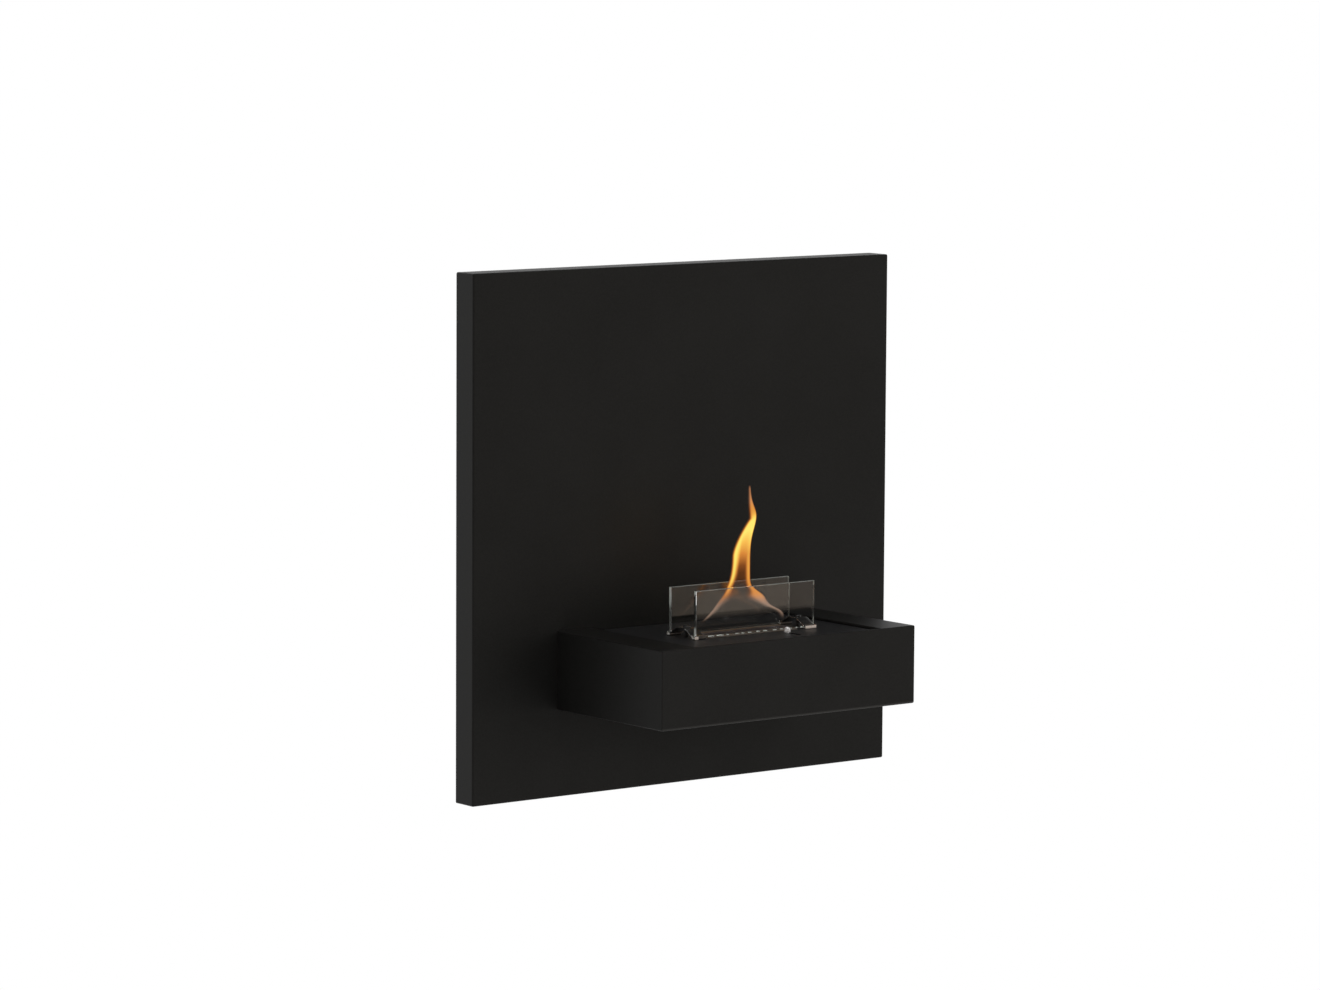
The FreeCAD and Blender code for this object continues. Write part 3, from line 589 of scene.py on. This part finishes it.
class FittingSettings(bpy.types.PropertyGroup):
    """Holders, screws, knob, rail and fasteners."""
    polish_colour: colour_setting("Polished steel", "Colour of the holders", 0.72, 0.71, 0.69)
    # the knob's pale colour is partly a painted highlight
    knob_colour: colour_setting("Knob", "Colour of the shutter's knob", 0.88, 0.86, 0.85)
    screw_colour: colour_setting("Screws", "Colour of the holders' screws", 0.06, 0.06, 0.062)
    zinc_colour: colour_setting("Zinc", "Colour of the rail and the fasteners", 0.58, 0.59, 0.61)
    rubber_colour: colour_setting("Rubber", "Colour of the wall bumpers", 0.018, 0.018, 0.019)
    holder_width: length_setting("Holder width", "Width of the holders' strip", 16.0)
    holder_sheet: length_setting("Holder sheet", "Thickness of the holders' strip", 1.2)
    holder_channel: length_setting("Holder channel", "Channel for a pane's foot", 4.6)
    holder_lip: length_setting("Holder lip", "Height of the outer lip", 5.0)
    holder_riser: length_setting("Holder riser", "Height of the inner riser", 3.2)
    holder_crown: length_setting("Holder crown", "Length of the level crown", 14.0)
    holder_bend: length_setting("Holder bend", "Radius of the strip's bends", 1.1)
    screw_head: length_setting("Screw head", "Height of the screws' heads", 2.4)
    socket: length_setting("Screw socket", "Width of the screws' hexagon socket", 2.5)
    knob_grooves: IntProperty(
        name="Knob grooves", description="Grip grooves round the knob", min=6, max=60, default=24)


class GlassSettings(bpy.types.PropertyGroup):
    """The panes."""
    ior: FloatProperty(name="Refraction", description="Index of refraction", min=1.0, max=2.0, default=1.5)
    edge_colour: colour_setting("Ground edge", "Colour of the ground edges", 0.86, 0.90, 0.84)


class FlameSettings(bpy.types.PropertyGroup):
    """The flame's outline above the deck."""
    height: length_setting("Height", "Height of the tip above the deck", 167.0)
    foot: length_setting("Foot", "Height of the lowest gas above the deck", 2.2)
    depth: length_setting("Depth", "Thickness of the flame, front to back", 7.0)
    left_spread: length_setting("Left leg", "How far the left leg reaches out", 40.0)
    right_spread: length_setting("Right leg", "How far the right leg reaches out", 50.0)


class StageSettings(bpy.types.PropertyGroup):
    """Camera, light and floor."""
    eye: FloatVectorProperty(
        name="Camera", description="Place of the camera", subtype="TRANSLATION", unit="LENGTH",
        default=(-3.73606, -4.84856, 0.49922))
    yaw: angle_setting("Turn", "Turn of the camera to the right", 0.65517)
    pitch: angle_setting("Tilt", "Tilt of the camera downwards", 0.11206)
    roll: angle_setting("Roll", "Roll of the camera", 0.00556)
    lens: FloatProperty(name="Lens", description="Focal length on a 36 mm wide sensor", default=145.41)
    floor_drop: length_setting("Floor drop", "Floor below the panel's foot", 750.0)
    sky: light_setting("Surround", "Soft light from the front", 0.36)
    backdrop: light_setting("Backdrop", "Soft light from the backdrop behind", 0.8)
    room: colour_setting("Room in front", "Wall that gloss and glass see in front", 0.40, 0.33, 0.27)
    ceiling: light_setting("Ceiling", "What gloss and glass see overhead, where 1 is white", 0.016)
    skirting: FloatProperty(
        name="Skirting", description="Drop of the front wall's foot over its distance", default=0.1723)
    lamp: light_setting("Overhead softbox", "Power of the softbox overhead", 22.0, unit="POWER")
    fill: light_setting("Front softbox", "Power of the low softbox in front", 26.0, unit="POWER")


class FireplaceSettings(bpy.types.PropertyGroup):
    """All the settings of the fireplace."""
    sheet: PointerProperty(type=SheetMetalSettings)
    burner: PointerProperty(type=BurnerSettings)
    fitting: PointerProperty(type=FittingSettings)
    glass: PointerProperty(type=GlassSettings)
    flame: PointerProperty(type=FlameSettings)
    stage: PointerProperty(type=StageSettings)


class FIREPLACE_OT_coat_sheets(bpy.types.Operator):
    """Powder-coats the panel, the burner box and the deck"""
    bl_idname = "fireplace.coat_sheets"
    bl_label = "Coat the sheets"

    deck_sheen = 0.06  # how much less rough the deck's coat is

    def execute(self, context):
        sheet = context.scene.fireplace.sheet
        coat = (sheet.peel, sheet.depth, sheet.gloss)
        panel = powder_coat("panel_coat", sheet.panel_colour, sheet.roughness, *coat)
        # the casing gets the painted highlight along its lower front edge
        casing = powder_coat("casing_coat", sheet.casing_colour, sheet.roughness, *coat, painted_highlight=1.0)
        # the deck coat is lighter than the casing's: partly its own tone, partly painted light from above
        deck = powder_coat("deck_coat", sheet.deck_colour, sheet.roughness - self.deck_sheen, *coat)
        dress(panel, "back_panel", "hanging_rail", "panel_stiffener_left", "panel_stiffener_right")
        dress(casing, "burner_casing", "deck_front_angle")
        dress(deck, "deck_plate")
        return {"FINISHED"}


class FIREPLACE_OT_finish_burner(bpy.types.Operator):
    """Finishes the burner's cover, tank, tray, shutter and wool"""
    bl_idname = "fireplace.finish_burner"
    bl_label = "Finish the burner"

    def execute(self, context):
        burner = context.scene.fireplace.burner
        # the cover's browning is partly heat tint and partly painted flame glow
        cover = heat_tint_and_flame_glow("burner_steel", burner.steel_colour, burner.tint_and_glow_colour, roughness=0.34)
        steel = rolled_steel("stainless_steel", burner.steel_colour, roughness=0.3, grain=1400.0)
        wool = fibre_wool("ceramic_fibre", burner.wool_colour)
        dress(cover, "burner_cover", "burner_mesh")
        dress(steel, "burner_tank", "overflow_tray", "shutter_leaf")
        dress(steel, "shutter_guide_left", "shutter_guide_right")
        dress(wool, "fibre_block", "glass_pads")
        return {"FINISHED"}


class FIREPLACE_OT_polish_fittings(bpy.types.Operator):
    """Bends and polishes the holders and turns their screws and the shutter's knob"""
    bl_idname = "fireplace.polish_fittings"
    bl_label = "Polish the fittings"

    def execute(self, context):
        fitting = context.scene.fireplace.fitting
        # the holders' front lips carry the painted warm reflection of the flame
        polish = polished_steel("polished_steel", fitting.polish_colour, roughness=0.1, lip_reflection=1.0)
        # the knob's pale, half-diffuse finish is partly blasted steel and partly a painted highlight
        satin_painted_light = polished_steel("satin_steel_painted_highlight", fitting.knob_colour, roughness=0.24, metal=0.4)
        black = polished_steel("blackened_steel", fitting.screw_colour, roughness=0.26)
        finishes = {"holder_screws": black, "shutter_knob": satin_painted_light}
        pieces = [self.holder(fitting, side) for side in ("left", "right")]
        pieces += [self.screws(fitting), self.knob(fitting)]
        for piece, node, body in pieces:
            finish = finishes.get(node, polish)
            dress(finish, node)
            smooth(piece).data.materials.append(finish)
            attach(piece, body)
            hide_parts(node)
        return {"FINISHED"}

    def holder(self, fitting, side):
        """A hat-shaped strip: a section with rounded edges carried along a bent middle line in the YZ plane.

        The middle line goes down the front lip, under the front pane, up a riser and a slope to the crown,
        and back down the same way behind; every bend is a curve between its two straight runs."""
        node = "glass_holder_" + side
        low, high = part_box(node)
        sheet = fitting.holder_sheet
        half = sheet / 2.0
        reach = (high.y - low.y) / 2.0 - half
        inner = reach - fitting.holder_channel - sheet
        crown = fitting.holder_crown / 2.0
        climb = math.atan2(high.z - low.z - sheet - fitting.holder_riser, inner - crown)
        lean = half * math.tan(climb / 2.0)
        corners = np.array([
            (-reach, fitting.holder_lip),
            (-reach, half),
            (-inner, half),
            (-inner, fitting.holder_riser + lean),
            (-crown - lean, high.z - low.z - half),
        ])
        corners = np.vstack([corners, corners[::-1] * (-1.0, 1.0)])
        middle = bent_line(corners, fitting.holder_bend) + (BURNER_MID.y, low.z)
        section = rounded_section(fitting.holder_width, sheet, 0.49 * sheet)[::-1]
        return strip_piece(node + "_bent", middle, section, (low.x + high.x) / 2.0), node, "burner_deck"

    def screws(self, fitting):
        """Domed screws: shank, rim and dome are turned, and the socket's three rows are hexagons.

        The dome's rows lie at radius r cos(s) and height 0.3 h + 0.7 h sin(s) / sin(1.05), s from 0 to 1.05."""
        top = SCREW_HIGH.z
        seat = top - fitting.screw_head
        radius = (SCREW_HIGH.y - SCREW_LOW.y) / 2.0
        shank = 0.52 * radius
        sweep = 1.05
        turn = np.linspace(0.0, 1.0, 9) * sweep
        lift = 0.3 + 0.7 * np.sin(turn) / np.sin(sweep)
        dome = np.stack([radius * np.cos(turn), seat + fitting.screw_head * lift], -1)
        socket = fitting.socket / 2.0
        profile = np.vstack([
            [(shank * 0.8, SCREW_LOW.z), (shank, SCREW_LOW.z + 0.4 * MM), (shank, seat)],
            [(radius * 0.97, seat), (radius, seat + 0.15 * MM)],
            dome,
            [(socket * 1.12, top), (socket, top - 0.1 * MM), (socket, top - 1.2 * MM)],
        ])

        def reach(angle):
            """1 for the turned rows, and for the last three the distance to a hexagon's flats."""
            flats = 1.0 / np.cos((angle + np.pi / 6.0) % (np.pi / 3.0) - np.pi / 6.0)
            wide = np.ones((len(profile), len(angle)))
            wide[-3:] = flats
            return wide

        middles = [(x, BURNER_MID.y, 0.0) for x in (SCREW_LOW.x + radius, SCREW_HIGH.x - radius)]
        piece = turned_piece("holder_screws_domed", profile, middles, columns=72, reach=reach)
        return piece, "holder_screws", "burner_deck"

    def knob(self, fitting):
        """A turned knob: stem, a low grip with a ring of grooves, and a dome over it, half an ellipse."""
        radius = (KNOB_HIGH.x - KNOB_LOW.x) / 2.0
        deck = DECK_HIGH.z
        rivet = KNOB_LOW.z
        brim = deck + 1.9 * MM
        turn = np.linspace(0.0, np.pi / 2.0, 8)[:-1]
        across = radius * (0.12 + 0.88 * np.cos(turn))
        dome = np.stack([across, brim + (KNOB_HIGH.z - brim) * np.sin(turn)], -1)
        stem = [(0.79, rivet), (0.79, rivet + 0.6 * MM), (0.58, rivet + 0.6 * MM), (0.58, deck + 0.3 * MM)]
        flare = [(0.8, deck + 0.35 * MM), (0.9, deck + 0.5 * MM), (1.0, deck + 0.8 * MM)]
        grip = [(1.0, deck + 0.9 * MM), (1.0, brim - 0.2 * MM), (1.0, brim - 0.1 * MM)]
        profile = np.vstack([np.array(stem + flare + grip) * (radius, 1.0), dome])
        first = len(stem + flare)

        def reach(angle):
            """Shallow grooves in the first two rows of the grip."""
            wide = np.ones((len(profile), len(angle)))
            wide[first:first + 2] = 1.0 - 0.045 * (0.5 + 0.5 * np.cos(fitting.knob_grooves * angle)) ** 2
            return wide

        middle = ((KNOB_LOW + KNOB_HIGH) / 2.0).xy
        piece = turned_piece("shutter_knob_turned", profile, [(*middle, 0.0)], columns=144, reach=reach)
        return piece, "shutter_knob", "shutter"


class FIREPLACE_OT_plate_fasteners(bpy.types.Operator):
    """Plates the wall rail and the fasteners, and dresses the wall bumpers"""
    bl_idname = "fireplace.plate_fasteners"
    bl_label = "Plate the fasteners"

    def execute(self, context):
        fitting = context.scene.fireplace.fitting
        zinc = zinc_plate("zinc_steel", fitting.zinc_colour, roughness=0.38)
        dress(zinc, "wall_rail", "casing_bolts", "casing_nuts", "deck_studs", "burner_nuts")
        dress(moulded_rubber("black_rubber", fitting.rubber_colour), "wall_bumpers")
        return {"FINISHED"}


class FIREPLACE_OT_glaze_panes(bpy.types.Operator):
    """Glazes the two panes"""
    bl_idname = "fireplace.glaze_panes"
    bl_label = "Glaze the panes"

    def execute(self, context):
        glass = context.scene.fireplace.glass
        dress(clear_pane("clear_glass", glass.ior, glass.edge_colour), "glass_front", "glass_rear")
        return {"FINISHED"}


class FIREPLACE_OT_light_flame(bpy.types.Operator):
    """Lights the flame over the burner slot"""
    bl_idname = "fireplace.light_flame"
    bl_label = "Light the flame"

    rows, columns = 190, 120
    shoulder = 132.0  # height of the right edge's swell above the deck, in millimetres

    def outline(self, flame, level):
        """Left and right edges of the flame, in millimetres, at heights above the deck.

        Each edge is a straight line plus S-curves: a leg that flares out below, in one step at the left, with
        a square of the height at its foot, and in two at the right. The left edge leans to the right above by
        a power of the height, up to a shoulder, and the right edge has a bell-shaped swell there, under the
        wisp at the tip."""
        toe = 0.04 * np.maximum(32.0 - level, 0.0) ** 2
        left_leg = flame.left_spread / MM * rise((39.5 - level) / 10.5) + toe
        lean = np.clip((level - 88.0) / 41.0, 0.0, 1.0) ** 1.5
        left = -14.6 - left_leg + (24.2 - 2.0 * rise((level - 136.0) / 4.0)) * lean
        steps = 0.48 * rise((45.0 - level) / 3.6) + 0.52 * rise((24.5 - level) / 3.0)
        above = level - self.shoulder
        swell = bell(above / (21.0 - 5.0 * rise(above / 3.0)))
        right = 11.2 + flame.right_spread / MM * steps + 8.4 * swell
        return left, right

    def execute(self, context):
        flame = context.scene.fireplace.flame
        level = np.linspace(flame.foot / MM, flame.height / MM, self.rows)[:, None]
        turn = np.linspace(0.0, 2.0 * np.pi, self.columns, endpoint=False)[None, :]
        left, right = self.outline(flame, level)
        half = (right - left) / 2.0
        middle = (right + left) / 2.0
        taper = np.clip((flame.height / MM - level) / 60.0, 0.0, 1.0) ** 0.6
        thick = flame.depth / MM / 2.0 * (0.15 + 0.85 * taper) * np.minimum(1.0, 0.35 + level / 60.0)
        x = middle + half * np.cos(turn)
        y = thick * np.sin(turn)
        points = np.stack([x, y, np.broadcast_to(level, x.shape)], -1) * MM
        points += np.array([0.0, BURNER_MID.y, DECK_HIGH.z])
        piece = smooth(grid_piece("flame", [points]))
        self.paint(piece, level, x - left, right - x, np.sin(turn) > 0.0)
        piece.data.materials.append(flame_glow("flame_glow"))
        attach(piece, "burner_deck")
        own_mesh(piece)
        return {"FINISHED"}

    def paint(self, piece, level, from_left, from_right, rear):
        """Heat and thickness over the flame: a bright ribbon along each edge and a core between them.

        A ribbon is full up to a short distance from its edge, and falls off as a bell curve beyond it. Its
        width and heat change with height. The core is dark low down, tapers upwards as the ribbons close over
        it, and is as hot as they are above; over a slanting shoulder the wisp is cooler. The front half holds
        most of the gas, so that the two halves don't show as two outlines."""
        side = (from_left - from_right) / np.maximum(from_left + from_right, 0.1)
        foot = rise((level - 25.0) / 2.5)
        blob = bell((level - 40.0) / (8.0 - 2.0 * rise(level - 40.0)))
        close = bell((level - 94.0) / 14.0)
        wisp = rise((131.5 + 3.0 * side - level) / 2.4)

        left_width = (5.0 + 5.5 * bell((level - 42.0) / 7.0) + 4.0 * close) * (0.5 + 0.5 * foot)
        right_width = (5.2 + 7.0 * blob + 2.0 * close) * (0.6 + 0.4 * foot)
        right_full = 2.2 + 2.0 * foot + 8.0 * blob
        left_glow = bell(np.maximum(from_left - 1.8, 0.0) / left_width)
        right_glow = bell(np.maximum(from_right - right_full, 0.0) / right_width)

        left_heat = 0.36 + 0.72 * rise((level - 52.0) / 4.5)
        right_heat = 0.32 + 0.2 * rise((level - 35.0) / 2.0) + 0.1 * rise((level - 58.0) / 4.0)
        core_heat = np.clip(0.1 + (level - 55.0 - 14.0 * (1.0 - side ** 2)) / 54.0, 0.1, 1.06)
        cooler = (1.0 - bell(from_left / 1.9)) * (1.0 - bell(from_right / 1.9))
        heat = np.maximum(core_heat, np.maximum(left_glow * left_heat, right_glow * right_heat))
        heat = heat * (0.52 + 0.48 * wisp) * (0.3 + 0.7 * cooler) * np.where(rear, 0.4, 1.0)

        gas = (0.22 + 0.68 * rise((level - 43.0) / 4.0)) * (1.0 + 0.6 * blob * right_glow)
        core = 0.5 * rise((level - 59.0) / 2.5) + 0.42 * rise((level - 80.0) / 6.0)
        edges = (1.0 - bell(from_left / 1.1)) * (1.0 - bell(from_right / (1.1 + 2.4 * blob)))
        body = np.maximum(core, np.maximum(left_glow, right_glow) * gas) * edges * (0.84 + 0.16 * wisp)
        body = np.clip(body * np.clip((level.max() - level) / 4.0, 0.0, 1.0), 0.0, 0.96)
        body = body * rise((level - np.where(from_left < from_right, 19.0, 15.5)) / 1.4)
        body = np.where(rear, 0.18 * body, 1.0 - (1.0 - body) ** 2)
        for name, values in (("warmth", heat), ("thickness", body)):
            layer = piece.data.attributes.new(name, "FLOAT", "POINT")
            layer.data.foreach_set("value", np.append(values.ravel(), [0.0, 0.0]).astype(np.float32))


class FIREPLACE_OT_set_stage(bpy.types.Operator):
    """Sets the camera, the light and the floor"""
    bl_idname = "fireplace.set_stage"
    bl_label = "Set the stage"

    sensor = 36.0  # millimetres
    farthest = 100.0  # metres that the camera sees
    softbox = 1.8  # side of a softbox in metres
    overhead = Vector((0.1, -0.9, 2.3))
    in_front = Vector((1.1, -2.3, -0.3))
    aim = Vector((0.0, -0.1, -0.25))
    floor_radius, floor_pole = 3.4, 0.02  # metres
    floor_rings, floor_columns = 24, 96

    def execute(self, context):
        scene = context.scene
        stage = scene.fireplace.stage
        scene.view_settings.view_transform = "Standard"
        self.place_camera(scene, stage)
        self.fill_world(scene, stage)
        self.hang_softbox(scene, "overhead_softbox", stage.lamp, self.overhead, True)
        self.hang_softbox(scene, "front_softbox", stage.fill, self.in_front, False)
        self.lay_floor(stage)
        return {"FINISHED"}

    def place_camera(self, scene, stage):
        """The camera looks along yaw and pitch, then rolls about its line of sight."""
        cy, sy = math.cos(stage.yaw), math.sin(stage.yaw)
        cp, sp = math.cos(stage.pitch), math.sin(stage.pitch)
        ahead = Vector((sy * cp, cy * cp, -sp))
        level = Vector((cy, -sy, 0.0))
        upright = level.cross(ahead)
        right = level * math.cos(stage.roll) + upright * math.sin(stage.roll)
        up = upright * math.cos(stage.roll) - level * math.sin(stage.roll)
        turn = Matrix((right, up, -ahead)).transposed()
        data = bpy.data.cameras.new("photo_camera")
        data.lens = stage.lens
        data.sensor_width = self.sensor
        data.sensor_fit = "HORIZONTAL"
        data.clip_end = self.farthest
        camera = bpy.data.objects.new("photo_camera", data)
        camera.matrix_world = Matrix.Translation(stage.eye) @ turn.to_4x4()
        scene.collection.objects.link(camera)
        scene.camera = camera

    def sight(self, root):
        """1 for what the camera sees straight on, and 1 for what gloss and glass see."""
        seen, glossy, through = root.rays("Is Camera Ray", "Is Glossy Ray", "Is Transmission Ray")
        return seen, glossy.math("MAXIMUM", through) * (1.0 - seen)

    def fill_world(self, scene, stage):
        """White behind; gloss and glass see a warm wall over a dark floor in front and a dark ceiling.

        Other light is soft, also where it reaches a matte surface through glass."""
        world = bpy.data.worlds.new("studio")
        scene.world = world
        world.use_nodes = True
        world.node_tree.nodes.clear()
        root = Wire(world.node_tree)
        _, depth, rising = root.node("ShaderNodeTexCoord", out="Generated").split()
        wall = (rising - depth * stage.skirting).ramp(-0.0006, 0.0006)
        dark_floor = (0.012, 0.012, 0.014, 1.0)
        room = wall.tint(dark_floor, rgba(stage.room))
        around = depth.ramp(-0.6, -0.2).tint(room, WHITE)
        overhead = (rising - depth.math("MAXIMUM", 0.0) * 0.4).ramp(0.2, 0.6)
        mirrored = overhead.tint(around, grey(stage.ceiling))
        soft = depth.ramp(-0.2, 0.3).tint(grey(stage.sky), grey(stage.backdrop))
        seen, gloss = self.sight(root)
        straight = 1.0 - root.rays("Diffuse Depth")[0].math("MINIMUM", 1.0)
        colour = seen.tint((gloss * straight).tint(soft, mirrored), WHITE)
        light = root.node("ShaderNodeBackground", None, {"Color": colour, "Strength": 1.0})
        root.node("ShaderNodeOutputWorld", None, {"Surface": light})

    def hang_softbox(self, scene, name, power, place, mirrored):
        """One large soft lamp, turned to the burner box, which gloss and glass show or don't."""
        data = bpy.data.lights.new(name, "AREA")
        data.shape = "SQUARE"
        data.size = self.softbox
        data.energy = power
        lamp = bpy.data.objects.new(name, data)
        turn = (self.aim - place).to_track_quat("-Z", "Y")
        lamp.matrix_world = Matrix.Translation(place) @ turn.to_matrix().to_4x4()
        lamp.visible_glossy = mirrored
        lamp.visible_transmission = mirrored
        scene.collection.objects.link(lamp)

    def lay_floor(self, stage):
        """A pale round floor: rings of points at radius r and angle a, well under the panel."""
        radius = np.linspace(self.floor_radius, self.floor_pole, self.floor_rings)[:, None]
        angle = np.linspace(0.0, 2.0 * np.pi, self.floor_columns, endpoint=False)[None, :]
        x, y = radius * np.cos(angle), radius * np.sin(angle)
        flat = np.stack([x, y, np.full(x.shape, PANEL_LOW.z - stage.floor_drop)], -1)
        floor = grid_piece("floor", [flat], False)
        floor.data.materials.append(self.floor_finish())

    def floor_finish(self):
        """Pale matte floor near the object, which takes its shadow, and white background further off."""
        material, root, place = start_finish("pale_floor")
        x, y, _ = place.split()
        away = (x * x + y * y).math("SQRT").ramp(0.9, 1.9)
        mirrored = y.ramp(-0.8, 0.8) * 0.6 + 0.4
        seen, gloss = self.sight(root)
        matte = root.node("ShaderNodeBsdfPrincipled", None, {
            "Base Color": noise(place, 60.0, 3.0).tint((0.80, 0.80, 0.79, 1.0), (0.84, 0.84, 0.83, 1.0)),
            "Roughness": 0.85,
        })
        level = (seen + gloss * mirrored).tint(BLACK, WHITE)
        white = root.node("ShaderNodeEmission", None, {"Color": level, "Strength": 1.0})
        top = mix_shaders(seen.math("MAXIMUM", gloss) * away, matte, white)
        under = root.node("ShaderNodeNewGeometry", out="Backfacing")
        surface = mix_shaders(under, top, root.node("ShaderNodeBsdfTransparent"))
        root.node("ShaderNodeOutputMaterial", None, {"Surface": surface})
        return material


OPERATORS = (
    FIREPLACE_OT_coat_sheets,
    FIREPLACE_OT_finish_burner,
    FIREPLACE_OT_polish_fittings,
    FIREPLACE_OT_plate_fasteners,
    FIREPLACE_OT_glaze_panes,
    FIREPLACE_OT_light_flame,
    FIREPLACE_OT_set_stage,
)


class FIREPLACE_PT_sidebar(bpy.types.Panel):
    """Lists the steps that dress the fireplace"""
    bl_idname = "FIREPLACE_PT_sidebar"
    bl_label = "Fireplace"
    bl_space_type = "VIEW_3D"
    bl_region_type = "UI"
    bl_category = "Fireplace"

    def draw(self, context):
        for step in OPERATORS:
            self.layout.operator(step.bl_idname)


CLASSES = (
    SheetMetalSettings,
    BurnerSettings,
    FittingSettings,
    GlassSettings,
    FlameSettings,
    StageSettings,
    FireplaceSettings,
    *OPERATORS,
    FIREPLACE_PT_sidebar,
)


def register():
    """Adds the classes and the scene's settings."""
    for cls in CLASSES:
        bpy.utils.register_class(cls)
    bpy.types.Scene.fireplace = PointerProperty(type=FireplaceSettings)


def unregister():
    """Takes the settings and the classes away again."""
    del bpy.types.Scene.fireplace
    for cls in reversed(CLASSES):
        bpy.utils.unregister_class(cls)


def main():
    """Dresses the fireplace step by step."""
    register()
    bpy.ops.fireplace.coat_sheets()
    bpy.ops.fireplace.finish_burner()
    bpy.ops.fireplace.polish_fittings()
    bpy.ops.fireplace.plate_fasteners()
    bpy.ops.fireplace.glaze_panes()
    bpy.ops.fireplace.light_flame()
    bpy.ops.fireplace.set_stage()


if __name__ == "__main__":
    main()
